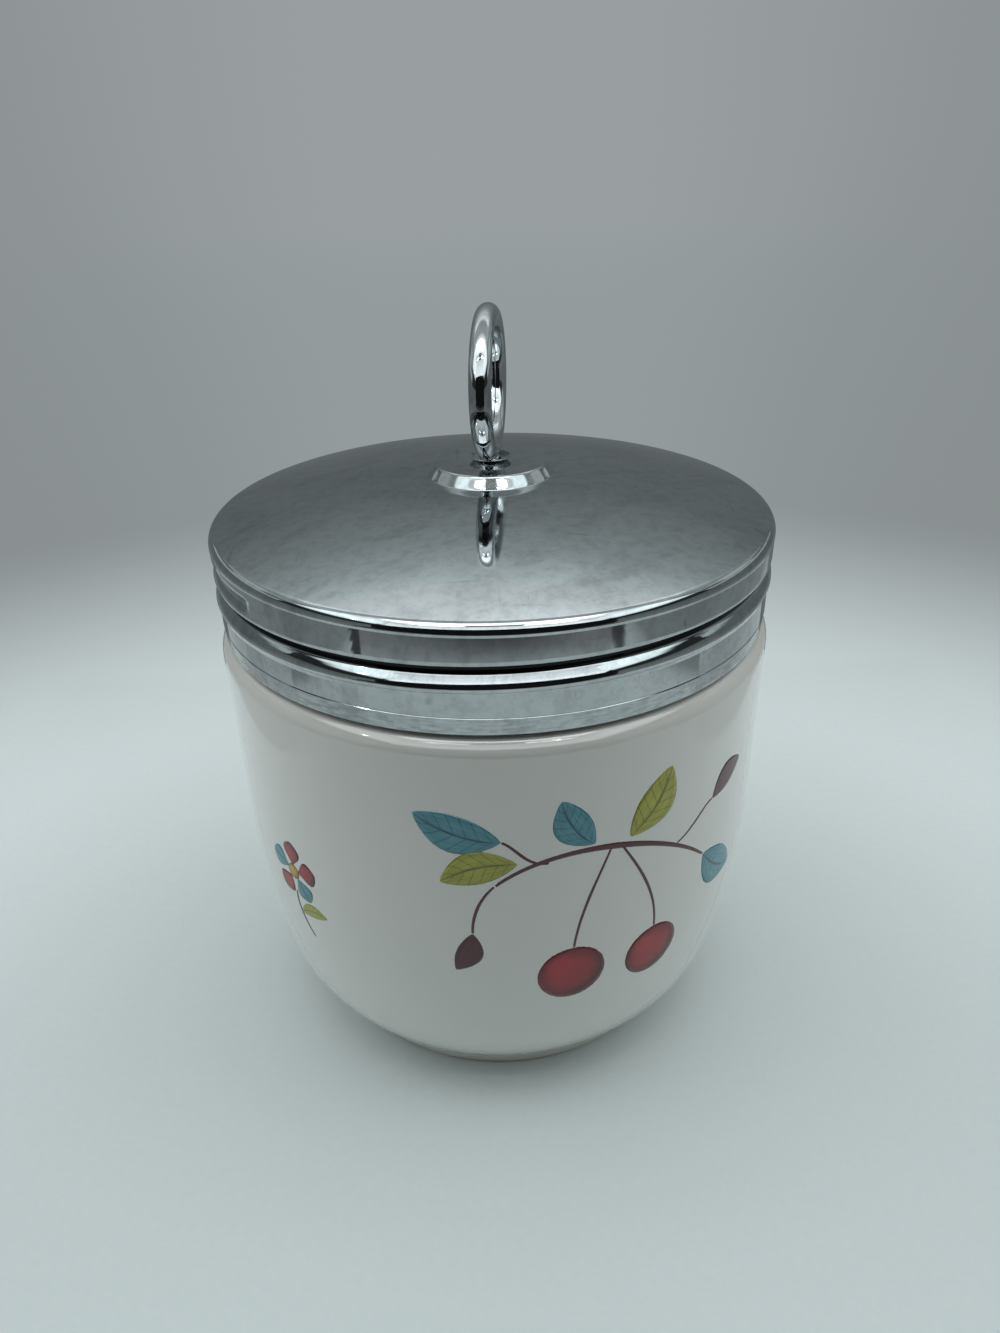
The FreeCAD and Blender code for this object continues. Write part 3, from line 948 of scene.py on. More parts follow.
@dataclass
class Pot:
    """The porcelain pot, in millimetres."""

    radius: float
    foot_radius: float = 30.3
    foot_width: float = 3.0
    foot_height: float = 2.4
    foot_recess: float = 2.0
    belly_height: float = 39.0
    belly_curve: float = 112.0
    heel_curve: float = 20.0
    shoulder_height: float = 66.5
    neck_radius: float = 37.9
    neck_wall: float = 3.4
    neck_top: float = 80.85
    floor_height: float = 7.0
    floor_round: float = 20.0
    segments: int = 288

    @property
    def belly_centre(self) -> np.ndarray:
        """The centre that the belly is struck from."""
        return np.array((self.radius - self.belly_curve, self.belly_height))

    def heel_centre(self) -> np.ndarray:
        """Find the centre of the arc that joins the foot to the belly without a kink.

        Returns:
            The centre.
        """
        span = np.array((self.foot_radius, self.foot_height)) - self.belly_centre
        length = np.linalg.norm(span)
        reach = self.belly_curve - self.heel_curve
        along = (reach**2 - self.heel_curve**2 + length**2) / (2 * length)
        unit = span / length
        aside = np.array((-unit[1], unit[0])) * math.sqrt(reach**2 - along**2)
        return self.belly_centre + unit * along + aside

    def wall(self) -> Outline:
        """Draw the outer wall, from the foot ring's root to the shoulder.

        Returns:
            The wall's outline.
        """
        belly, heel = self.belly_centre, self.heel_centre()
        way = heel - belly
        meeting = belly + way / np.linalg.norm(way) * self.belly_curve
        wall = Outline((self.foot_radius, self.foot_height)).bend(heel, meeting, 22)
        wall.bend(belly, (self.radius, self.belly_height), 16)
        return wall.run((self.radius, self.shoulder_height, 2.3, 10))

    def outline(self) -> Outline:
        """Draw the whole pot, from the middle of the underside to the middle inside.

        Returns:
            The outline.
        """
        bore = self.neck_radius - self.neck_wall
        bowl_top = self.floor_height + self.floor_round
        floor_edge = (bore - self.floor_round, self.floor_height)
        foot_bore = self.foot_radius - self.foot_width
        root, *rest = self.wall().corners
        whole = Outline((0.0, self.foot_recess)).run(
            (foot_bore, self.foot_recess, 0.8, 8),
            (foot_bore, 0.0, 0.6, 2),
            (self.foot_radius, 0.0, 0.6, 3),
            (root.distance, root.height, 0.7, 2),
        )
        whole.corners.extend(rest)
        whole.run(
            (self.neck_radius, self.shoulder_height, 0.45, 2),
            (self.neck_radius, self.neck_top, 1.1, 72, True),
            (bore, self.neck_top, 1.1, 3),
            (bore, bowl_top, 0.0, 12),
        )
        whole.bend((floor_edge[0], bowl_top), floor_edge, 16)
        return whole.run((0.0, self.floor_height, 0.0, 8))

    def build(self, lathe: Lathe) -> None:
        """Turn the pot, raise the thread on its neck and put it in the frame.

        Args:
            lathe: What turns it, in its glaze.
        """
        piece = lathe.turn("porcelain_pot", self.outline(), self.segments)
        wall = (self.neck_radius - 0.2, self.neck_radius + 0.2)
        NECK_RIDGE.roll(piece, wall, lathe.material)
        settle(piece)
        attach(piece, "pot")
        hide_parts("pot")


@dataclass
class Lid:
    """The pressed lid, in millimetres: one thin sheet with a screw groove rolled into it."""

    radius: float = 40.0
    base: float = 67.0
    rim_height: float = 81.3
    sheet: float = 0.6
    dome_curve: float = 150.5
    boss_radius: float = 9.05
    boss_top_radius: float = 7.95
    boss_top: float = 88.1
    stem_hole: float = 1.33
    step_height: float = 74.6
    hem_height: float = 69.4
    groove_zone: Place = (71.6, 79.6)
    inner_face: Place = (38.5, 39.55)
    both_faces: Place = (38.7, 41.0)
    outer_face: Place = (39.65, 41.0)
    segments: int = 336

    @property
    def dome_centre(self) -> float:
        """The height of the centre that the dome is struck from."""
        return self.rim_height - math.sqrt(self.dome_curve**2 - self.radius**2)

    def dome(self, distance: float, sunk: float = 0.0) -> Place:
        """Return the dome's place at a distance from the axis, sunk below its outside."""
        rise = math.sqrt((self.dome_curve - sunk) ** 2 - distance**2)
        return distance, self.dome_centre + rise

    def outline(self) -> Outline:
        """Draw the sheet: outside from the middle to the hem, then back inside.

        Returns:
            The outline.
        """
        centre = (0.0, self.dome_centre)
        wall, skirt, hem = self.radius, self.radius - 0.2, self.radius - 0.4
        low, high = self.groove_zone
        underside = self.boss_top - self.sheet
        sheet = Outline((self.stem_hole, self.boss_top)).run(
            (self.boss_top_radius, self.boss_top, 0.5, 8),
            (*self.dome(self.boss_radius), 0.2, 3),
        )
        sheet.bend(centre, self.dome(wall - 1.0), 29)
        sheet.run(
            (*self.dome(wall + 0.05), 1.3),
            (wall + 0.05, self.rim_height - 1.1, 0.3),
            (wall, self.rim_height - 1.4, 0.2),
            (wall, high, 0.0, 3),
            (wall, self.step_height + 1.4, 0.0, 46, True),
            (skirt, self.step_height + 0.6, 0.0, 11, True),
            (skirt, low, 0.0, 42, True),
            (skirt, self.hem_height + 0.1, 0.05, 5),
            (skirt - 0.09, self.hem_height, 0.03),
            (skirt, self.hem_height - 0.1, 0.05),
            (hem, self.base, 0.2, 4),
            (hem - self.sheet, self.base, 0.15),
            (skirt - self.sheet, self.hem_height, 0.0, 2),
            (skirt - self.sheet, self.step_height, 0.0, 12, True),
            (wall - self.sheet, self.step_height + 0.3),
            (wall - self.sheet, high, 0.0, 18, True),
            (*self.dome(wall - self.sheet, self.sheet), 0.5, 3),
        )
        sheet.bend(centre, self.dome(self.boss_radius - 0.5, self.sheet), 20)
        return sheet.run(
            (self.boss_top_radius - 0.3, underside, 0.2, 2),
            (self.stem_hole, underside, 0.0, 4),
            (self.stem_hole, self.boss_top),
        )

    def build(self, lathe: Lathe) -> None:
        """Turn the lid, roll the groove and bead into it and put it in the frame.

        Args:
            lathe: What turns it, in its plate.
        """
        piece = lathe.turn("chromed_lid", self.outline(), self.segments)
        LID_RIDGE.roll(piece, self.inner_face, lathe.material)
        LID_GROOVE.roll(piece, self.outer_face, lathe.material)
        LID_BEAD.roll(piece, self.both_faces, lathe.material)
        settle(piece)
        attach(piece, "lid")
        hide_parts("lid_cap")


def dish_radius(half_width: float, depth: float) -> float:
    """Return the radius of an arc that is so wide on each side and so deep."""
    return (half_width**2 + depth**2) / (2 * depth)


@dataclass
class RingFittings:
    """The lifting ring with its stem and the collar under it, in millimetres."""

    boss_top: float = 88.1
    wire_radius: float = 1.5
    ring_radius: float = 8.9
    ring_turn: float = -7.3
    stem_radius: float = 1.25
    collar_radius: float = 2.95
    collar_foot: float = 2.4
    collar_height: float = 0.75
    dish_depth: float = 0.55
    seat: float = 86.408
    peened_radius: float = 2.3
    peened_height: float = 1.1
    clearance: float = 0.01
    stem_overlap: float = 0.35
    hole_play: float = 0.08

    def build_ring(self, lathe: Lathe, bending: GeometryTree) -> None:
        """Bend the ring, turn its stem and peened end, and put them in the frame.

        Args:
            lathe: What turns the stem, in its plate.
            bending: The tree that bends the ring.
        """
        low = self.seat - self.peened_height
        peened_curve = dish_radius(self.peened_radius, self.peened_height)
        ring_bottom = self.boss_top + self.collar_height - self.dish_depth + self.clearance
        stem = Outline((0.0, low))
        stem.bend((0.0, low + peened_curve), (self.peened_radius, self.seat), 8, rounding=0.1)
        stem.run(
            (self.stem_radius, self.seat),
            (self.stem_radius, ring_bottom + self.stem_overlap, 0.0, 3),
            (0.0, ring_bottom + self.wire_radius),
        )
        piece = lathe.turn("lifting_ring_bright", stem, 64)
        bending.run_on(
            piece, ring_radius=self.ring_radius * MM, wire_radius=self.wire_radius * MM,
            steps=160, section_steps=48, turn=math.radians(self.ring_turn),
            height=(ring_bottom + self.wire_radius + self.ring_radius) * MM,
            material=lathe.material,
        )
        settle(piece)
        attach(piece, "lid")
        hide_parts("lifting_ring")

    def build_collar(self, lathe: Lathe) -> None:
        """Turn the dished collar and put it in the frame.

        Args:
            lathe: What turns it, in its plate.
        """
        top, hole = self.boss_top + self.collar_height, self.stem_radius + self.hole_play
        bottom = top - self.dish_depth
        dish_curve = dish_radius(self.collar_radius - hole, self.dish_depth)
        shape = Outline((hole, self.boss_top)).run(
            (self.collar_foot, self.boss_top, 0.08, 2),
            (self.collar_radius, top - 0.15, 0.07, 2),
            (self.collar_radius, top, 0.06),
        )
        shape.bend((hole, bottom + dish_curve), (hole, bottom), 6)
        shape.run((hole, self.boss_top))
        piece = lathe.turn("dished_collar", shape, 96)
        settle(piece)
        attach(piece, "lid")
        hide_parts("ring_collar")


# Painted decoration


class WallMap:
    """Places motifs on the pot's outer wall, by millimetres along it."""

    AHEAD = 0.05

    def __init__(self, pot: Pot) -> None:
        """Measure the wall's outline from the foot up.

        Args:
            pot: The pot.
        """
        self.places = np.array(pot.wall().points())
        steps = np.linalg.norm(np.diff(self.places, axis=0), axis=1)
        self.lengths = np.concatenate(([0.0], np.cumsum(steps)))
        self.radius = pot.radius
        straight = int(np.argmax(self.places[:, 1] >= pot.belly_height - 1e-6))
        self.lengths += pot.belly_height - self.lengths[straight]

    def at(self, y: np.ndarray) -> tuple[np.ndarray, np.ndarray]:
        """Return the wall's distance from the axis and its height at lengths along it."""
        return tuple(np.interp(y, self.lengths, self.places[:, side]) for side in (0, 1))

    def lay(self, bearing: float, x: np.ndarray, y: np.ndarray, lift: np.ndarray) -> np.ndarray:
        """Lay flat points on the wall.

        Args:
            bearing: The bearing of x = 0, in degrees.
            x: Distances to the right round the wall, in millimetres.
            y: Heights, measured along the wall below the belly, in millimetres.
            lift: How far each point stands off the wall, in millimetres.

        Returns:
            The points in metres, one row each.
        """
        distance, height = self.at(y)
        further, higher = self.at(y + self.AHEAD)
        ahead, rise = further - distance, higher - height
        length = np.maximum(np.hypot(ahead, rise), 1e-9)
        distance = distance + lift * rise / length
        height = height - lift * ahead / length
        angle = math.radians(bearing) + x / self.radius
        return np.stack((distance * np.sin(angle), -distance * np.cos(angle), height), -1) * MM


# How finely motifs are cut: along and across, or outwards and round.
LEAF_GRID, DISC_GRID, LINE_GRID = (25, 11), (9, 41), (41, 5)


@dataclass
class Patch:
    """A motif as a grid of flat points in millimetres, with its painter's coordinates.

    The rows of a round motif are rings, from its middle outwards.
    """

    x: np.ndarray
    y: np.ndarray
    motif: np.ndarray
    rings: bool = False


def leaf(base: Place, tip: Place, width: float, bow: float = 0.0, blunt: float = 1.0) -> Patch:
    """Return an oval leaf or petal.

    Args:
        base: Where it joins its stem.
        tip: Its far end.
        width: Its greatest width.
        bow: How far its middle bends to the left, as a share of its length.
        blunt: How round its tip is: 1 is an even oval, and less is blunter.

    Returns:
        The motif.
    """
    along = np.linspace(0, 1, LEAF_GRID[0])[:, None]
    across = np.linspace(-1, 1, LEAF_GRID[1])[None, :]
    start, way = np.array(base), np.array(tip) - np.array(base)
    aside = np.array((-way[1], way[0]))
    unit = aside / np.linalg.norm(aside)
    half = width / 2 * np.sin(math.pi * along**blunt) ** 0.8
    bend = 4 * along * (1 - along) * bow
    x, y = (
        start[side] + way[side] * along + aside[side] * bend + unit[side] * half * across
        for side in (0, 1)
    )
    motif = np.broadcast_arrays(along, (across + 1) / 2)
    return Patch(x, y, np.stack(motif, -1))


def disc(centre: Place, radius: float, squash: float = 1.0) -> Patch:
    """Return a round motif such as a berry.

    Args:
        centre: Its middle.
        radius: Half its height.
        squash: Its width as a share of its height.

    Returns:
        The motif.
    """
    out = np.linspace(0, 1, DISC_GRID[0])[:, None]
    angle = np.linspace(0, TAU, DISC_GRID[1])[None, :]
    x, y = out * np.cos(angle) * squash, out * np.sin(angle)
    motif = np.stack(((x + 1) / 2, (y + 1) / 2), -1)
    return Patch(centre[0] + radius * x, centre[1] + radius * y, motif, rings=True)


def brush_line(points: Sequence[Place], widths: Point) -> Patch:
    """Return a brushed line along a smooth curve.

    Args:
        points: The curve's start, two control points and end.
        widths: Its width at the start, middle and end.

    Returns:
        The motif.
    """
    t = np.linspace(0, 1, LINE_GRID[0])[:, None]
    a, b, c, d = (np.array(point) for point in points)
    path = a * (1 - t) ** 3 + 3 * b * t * (1 - t) ** 2 + 3 * c * t**2 * (1 - t) + d * t**3
    slope = np.gradient(path, axis=0)
    unit = np.stack((-slope[:, 1], slope[:, 0]), -1) / np.linalg.norm(slope, axis=1)[:, None]
    half = np.interp(t[:, 0], (0, 0.5, 1), widths)[:, None, None] / 2
    across = np.linspace(-1, 1, LINE_GRID[1])
    spread = path[:, None, :] + unit[:, None, :] * across[None, :, None] * half
    motif = np.broadcast_arrays(t, (across[None, :] + 1) / 2)
    return Patch(spread[..., 0], spread[..., 1], np.stack(motif, -1))


@dataclass
class Cluster:
    """Motifs of all colours that sit round one bearing on the wall, at a height along it."""

    bearing: float
    height: float
    mirror: bool = False
    scale: float = 1.0


class Decoration:
    """The enamel decoration: sprays of cherries with plain leaves, and single blossoms."""

    LIFT, EDGE, SUNK = 0.035, 0.01, 0.05
    PETALS = 5
    CHERRIES = (((-4.6, -11.0), 5.2, 0.96), ((8.2, -11.6), 4.8, 0.97))
    TWIG = ((-15, 6), (-6, 14), (8, 10), (17, 1))
    STALKS = (
        ((0.5, 10.3), (-1.5, 5), (-4, 0), (-4.5, -6)),
        ((1.5, 10.2), (4, 6), (8, 0), (8, -7)),
        ((-8, 9.2), (-11, 9), (-12, 12), (-14, 13)),
        ((11, 6.2), (14, 7), (16, 10), (18, 10)),
        ((-15, 6), (-17, 4), (-18, 1), (-18, -2)),
    )
    LEAVES = (
        ("teal", (-14, 13), (-25, 17), 6.0, 0.08),
        ("olive", (-12, 9.5), (-22, 6.5), 5.4, -0.1),
        ("olive", (3, 10.6), (9, 19.5), 6.2, -0.1),
        ("teal", (17, 1), (26, -6), 6.4, -0.08),
        ("maroon", (18, 10), (25.5, 13), 4.4, 0.1),
        ("teal", (-2, 11), (-6.5, 18.5), 5.2, 0.1),
        ("maroon", (-18, -2), (-20.5, -9), 3.8, 0.1),
    )

    def __init__(self, wall: WallMap) -> None:
        """Start with no motifs."""
        self.wall = wall
        self.grids: dict[str, list[tuple[np.ndarray, np.ndarray, np.ndarray]]] = {}

    def paint(self, colour: str, cluster: Cluster, patch: Patch) -> None:
        """Lay one motif on the wall.

        Args:
            colour: The enamel.
            cluster: The cluster that it belongs to.
            patch: The motif.
        """
        x = patch.x * cluster.scale * (-1 if cluster.mirror else 1)
        y = cluster.height + patch.y * cluster.scale
        raised = np.zeros(x.shape)
        raised[1:-1, 1:-1] = 1.0
        if patch.rings:
            raised[:-1, :] = 1.0
        lift = raised * (self.LIFT + self.EDGE) - self.EDGE
        top = self.wall.lay(cluster.bearing, x, y, lift)
        under = self.wall.lay(cluster.bearing, x, y, -self.EDGE - raised * self.SUNK)
        self.grids.setdefault(colour, []).append((top, under, patch.motif))

    def spray(self, cluster: Cluster) -> None:
        """Paint a bent twig with two hanging cherries and plain oval leaves.

        Args:
            cluster: Where it sits.
        """
        self.paint("maroon", cluster, brush_line(self.TWIG, (0.5, 1.1, 0.45)))
        for stalk in self.STALKS:
            self.paint("maroon", cluster, brush_line(stalk, (0.35, 0.5, 0.4)))
        for cherry in self.CHERRIES:
            self.paint("crimson", cluster, disc(*cherry))
        for colour, base, tip, width, bow in self.LEAVES:
            self.paint(colour, cluster, leaf(base, tip, width, bow))

    def blossom(self, cluster: Cluster) -> None:
        """Paint a five-petalled blossom on a short stalk with one leaf.

        Args:
            cluster: Where it sits.
        """
        stalk = ((0, -3.5), (-0.6, -6), (0.5, -9), (2.2, -11.5))
        self.paint("maroon", cluster, brush_line(stalk, (0.4, 0.5, 0.35)))
        self.paint("olive", cluster, leaf((0.2, -7.5), (6.2, -5.6), 2.6, 0.12))
        for petal in range(self.PETALS):
            angle = TAU * (petal / self.PETALS + 0.25)
            way = np.array((math.cos(angle), math.sin(angle)))
            shape = leaf(tuple(way * 1.1), tuple(way * 5.2), 3.9, blunt=1.35)
            self.paint("teal" if petal % 2 else "crimson", cluster, shape)
        self.paint("ochre", cluster, disc((0.0, 0.0), 1.3))

    def build(self, finishes: Iterable[Enamel]) -> None:
        """Make one thin piece of enamel for each colour and put it in the frame.

        Args:
            finishes: The enamels.
        """
        for finish in finishes:
            form = bmesh.new()
            motif_map = form.loops.layers.uv.new("motif")
            for top, under, motif in self.grids[finish.name.removeprefix("enamel_")]:
                for sheet in (top, under):
                    self.add_sheet(form, motif_map, sheet, motif)
            bmesh.ops.remove_doubles(form, verts=form.verts, dist=SAME_PLACE)
            bmesh.ops.dissolve_degenerate(form, edges=form.edges, dist=SAME_PLACE / 10)
            bmesh.ops.recalc_face_normals(form, faces=form.faces)
            mesh = bpy.data.meshes.new(finish.name)
            form.to_mesh(mesh)
            form.free()
            piece = add_object(finish.name, mesh)
            mesh.materials.append(finish.material())
            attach(piece, "pot")
            report(piece)

    @staticmethod
    def add_sheet(
        form: bmesh.types.BMesh, motif_map: bmesh.types.BMLayerItem, sheet: np.ndarray,
        motif: np.ndarray,
    ) -> None:
        """Add a grid of smooth faces to a form.

        Args:
            form: The form.
            motif_map: Its layer for the painter's coordinates.
            sheet: The grid's points.
            motif: Their coordinates.
        """
        rows = [[form.verts.new(place) for place in row] for row in sheet]
        for i in range(len(rows) - 1):
            for j in range(len(rows[0]) - 1):
                ring = ((i, j), (i, j + 1), (i + 1, j + 1), (i + 1, j))
                face = form.faces.new([rows[a][b] for a, b in ring])
                face.smooth = True
                for loop, (a, b) in zip(face.loops, ring):
                    loop[motif_map].uv = motif[a, b]


# Studio


def rectangle(low: Point, high: Point) -> tuple[Point, ...]:
    """Find the corners of a rectangle that has two level sides.

    Args:
        low: One corner.
        high: The corner across from it.

    Returns:
        All four.
    """
    axis = 0 if low[0] != high[0] else 1
    after, before = list(low), list(high)
    after[axis], before[axis] = high[axis], low[axis]
    return low, tuple(after), high, tuple(before)


def steady(level: float) -> tuple[Place, Place]:
    """Return the levels of a panel that glows the same all over."""
    return (0.0, level), (1.0, level)


@dataclass
class Panel:
    """A panel of the light tent: its corners in metres and how brightly it glows.

    Each level is a place along one of the axes, from low to high, and the glow there.
    """

    name: str
    corners: tuple[Point, ...]
    levels: tuple[Place, ...]
    axis: int = 2
    hue: Colour = DAYLIGHT

    def build(self) -> None:
        """Hang the panel where the camera doesn't see it but polished metal does."""
        tree = SurfaceTree(self.name)
        start, end = self.levels[0][0], self.levels[-1][0]
        peak = max(level for _, level in self.levels)
        stops = [
            ((place - start) / (end - start), (*[level / peak] * 3, 1.0))
            for place, level in self.levels
        ]
        share = (tree.parts(tree.place)[self.axis] - start) / (end - start)
        ramp = tree.add("ShaderNodeValToRGB", {"Fac": share}, stops=stops)
        sockets = {"Color": self.hue, "Strength": tree.parts(ramp)[0] * peak}
        mesh = bpy.data.meshes.new(self.name)
        mesh.from_pydata(self.corners, [], [tuple(range(len(self.corners)))])
        mesh.materials.append(tree.show(tree.add("ShaderNodeEmission", sockets)))
        panel = add_object(self.name, mesh)
        panel.visible_camera = False
        panel.visible_shadow = False
        panel.visible_diffuse = False


@dataclass
class Lamp:
    """A soft lamp: its place and size in metres and its power in watts."""

    name: str
    place: Point
    size: Place
    power: float
    aim: Point = (0.0, 0.0, 0.05)
    mirrored: bool = True

    def build(self) -> None:
        """Hang the lamp."""
        lamp = bpy.data.lights.new(self.name, "AREA")
        lamp.shape = "RECTANGLE"
        lamp.size, lamp.size_y = self.size
        lamp.energy = self.power
        lamp.color = DAYLIGHT[:3]
        hung = bpy.data.objects.new(self.name, lamp)
        hung.location = self.place
        way = Vector(self.aim) - Vector(self.place)
        hung.rotation_euler = way.to_track_quat("-Z", "Y").to_euler()
        hung.visible_camera = False
        hung.visible_glossy = self.mirrored
        bpy.context.scene.collection.objects.link(hung)


@dataclass
class Camera:
    """The camera up in front, looking down; its frame is measured in pixels."""

    place: Point = (0.0, -134.08 * MM, 127.38 * MM)
    down: float = 28.468
    roll: float = -1.3
    yaw: float = 0.298
    focal: float = 963.0
    long_side: float = 1333.0
    film: float = 36.0
    nearest: float = 0.005

    def build(self) -> None:
        """Set the camera up."""
        down, roll, yaw = (math.radians(angle) for angle in (self.down, self.roll, self.yaw))
        turns = ((-yaw, "Z"), (TAU / 4 - down, "X"), (roll, "Z"))
        over, tilt, lean = (Matrix.Rotation(angle, 4, axis) for angle, axis in turns)
        lens = bpy.data.cameras.new("camera")
        lens.sensor_width = self.film
        lens.lens = self.focal * self.film / self.long_side
        lens.clip_start = self.nearest
        camera = bpy.data.objects.new("camera", lens)
        camera.matrix_world = Matrix.Translation(self.place) @ over @ tilt @ lean
        bpy.context.scene.collection.objects.link(camera)
        bpy.context.scene.camera = camera


@dataclass
class Floor:
    """The pale floor of the tent and the surroundings beyond it."""

    near: Colour = tint(216, 224, 223)
    far: Colour = tint(147, 155, 157)
    # The floor's colour at the fold, brighter as painted light.
    painted_fold_light: Colour = tint(233, 240, 239)
    wall_top: Colour = tint(153, 159, 161)
    # The backdrop's colour to the sides, darker as painted shade.
    shaded_wall_side: Colour = tint(138, 144, 145)
    middle: float = -0.06
    radius: float = 30.0
    tent_edge: Place = (0.171, 0.196)
    opening: Place = (0.04, 0.07)
    dim: float = 0.22
    dims: tuple[Point, ...] = ((0.165, 0.21, 0.16), (0.21, 0.26, 0.05))
    roughness: float = 0.6
    fold_light: Place = (0.06, 0.15)
    fold_light_back: Place = (-0.08, 0.0)
    horizon: Place = (0.5, 2.0)
    flank: Place = (0.1, 0.55)
    merge: Place = (0.14, 0.32)
    around_level: float = 0.26
    above_level: float = 0.86
    ahead_level: float = 0.01

    def pale(self, tree: SurfaceTree, x: Wire, y: Wire) -> Wire:
        """Shade the floor as the camera sees it: lit nearby, with painted light towards the fold,
        and further off a glow in the backdrop's colours, darker to the sides as painted shade.

        Args:
            tree: The material's tree.
            x: How far to the right a place is.
            y: How far back it is.

        Returns:
            The shader.
        """
        distance = tree.length(x, y - self.middle)
        grain = tree.noise(tree.place, 900.0, 3.0)
        # Painted light: behind the object the floor's colour grows brighter towards the fold, where
        # the tent's cloth rises and catches more light.
        fold_light = tree.steps(distance, *self.fold_light) * tree.steps(y, *self.fold_light_back)
        cloth_and_light = tree.mix(grain * 0.12, tree.mix(fold_light, self.near, self.painted_fold_light), self.far)
        sockets = {"Base Color": cloth_and_light, "Roughness": self.roughness}
        near = tree.add("ShaderNodeBsdfPrincipled", sockets)
        # Painted light: beyond the lit floor a glow, no lamp, stands in for the lit backdrop, and
        # its sides are darker as painted shade.
        beyond = tree.mix(tree.steps(distance, *self.horizon), self.far, self.wall_top)
        aside = tree.steps(tree.maths("ABSOLUTE", x) / distance, *self.flank)
        beyond = tree.mix(aside, beyond, self.shaded_wall_side)
        glow = tree.add("ShaderNodeEmission", {"Color": beyond})
        return tree.blend(tree.steps(distance, *self.merge), near, glow)

    def build(self) -> None:
        """Lay the floor: bright in the tent and, in mirrors, dim before its opening."""
        tree = SurfaceTree("tent_floor")
        x, y, _ = tree.parts(tree.place)
        ahead = -y
        outside = tree.steps(tree.length(x, y), *self.tent_edge)
        outside = outside * tree.steps(ahead, *self.opening)
        level = self.dim
        for start, end, drop in self.dims:
            level = level - tree.steps(ahead, start, end) * drop
        dim = tree.add("ShaderNodeEmission", {"Color": DAYLIGHT, "Strength": level})
        unseen = 1 - tree.add("ShaderNodeLightPath").out("Is Camera Ray")
        material = tree.show(tree.blend(outside * unseen, self.pale(tree, x, y), dim))
        form = bmesh.new()
        bmesh.ops.create_circle(form, cap_ends=True, segments=96, radius=self.radius)
        mesh = bpy.data.meshes.new("floor")
        form.to_mesh(mesh)
        form.free()
        mesh.materials.append(material)
        add_object("floor", mesh)

    def build_world(self) -> None:
        """Shade the surroundings: bright above, dim in front, and pale to the camera."""
        world = bpy.data.worlds.new("surroundings")
        world.use_nodes = True
        bpy.context.scene.world = world
        tree = Tree(world.node_tree)
        x, y, z = tree.parts(tree.add("ShaderNodeTexCoord"))
        beside = tree.maths("ABSOLUTE", x)
        above = tree.steps(z + y * 0.7, 0.5, 0.95)
        front = tree.steps(-y, 0.1, 0.7) * (1 - tree.steps(z, 0.5, 0.8))
        level = self.around_level + tree.steps(beside, 0.35, 0.9) * self.around_level
        level = level * (1 - above) + above * self.above_level
        level = level * (1 - front) + front * self.ahead_level
        lighting = tree.add("ShaderNodeBackground", {"Color": DAYLIGHT, "Strength": level})
        # Painted shade: the backdrop that the camera sees is darker to the sides.
        pale = tree.mix(tree.steps(beside, *self.flank), self.wall_top, self.shaded_wall_side)
        backdrop = tree.add("ShaderNodeBackground", {"Color": pale})
        seen = tree.add("ShaderNodeLightPath")
        tree.end("ShaderNodeOutputWorld", tree.blend(seen, lighting, backdrop))


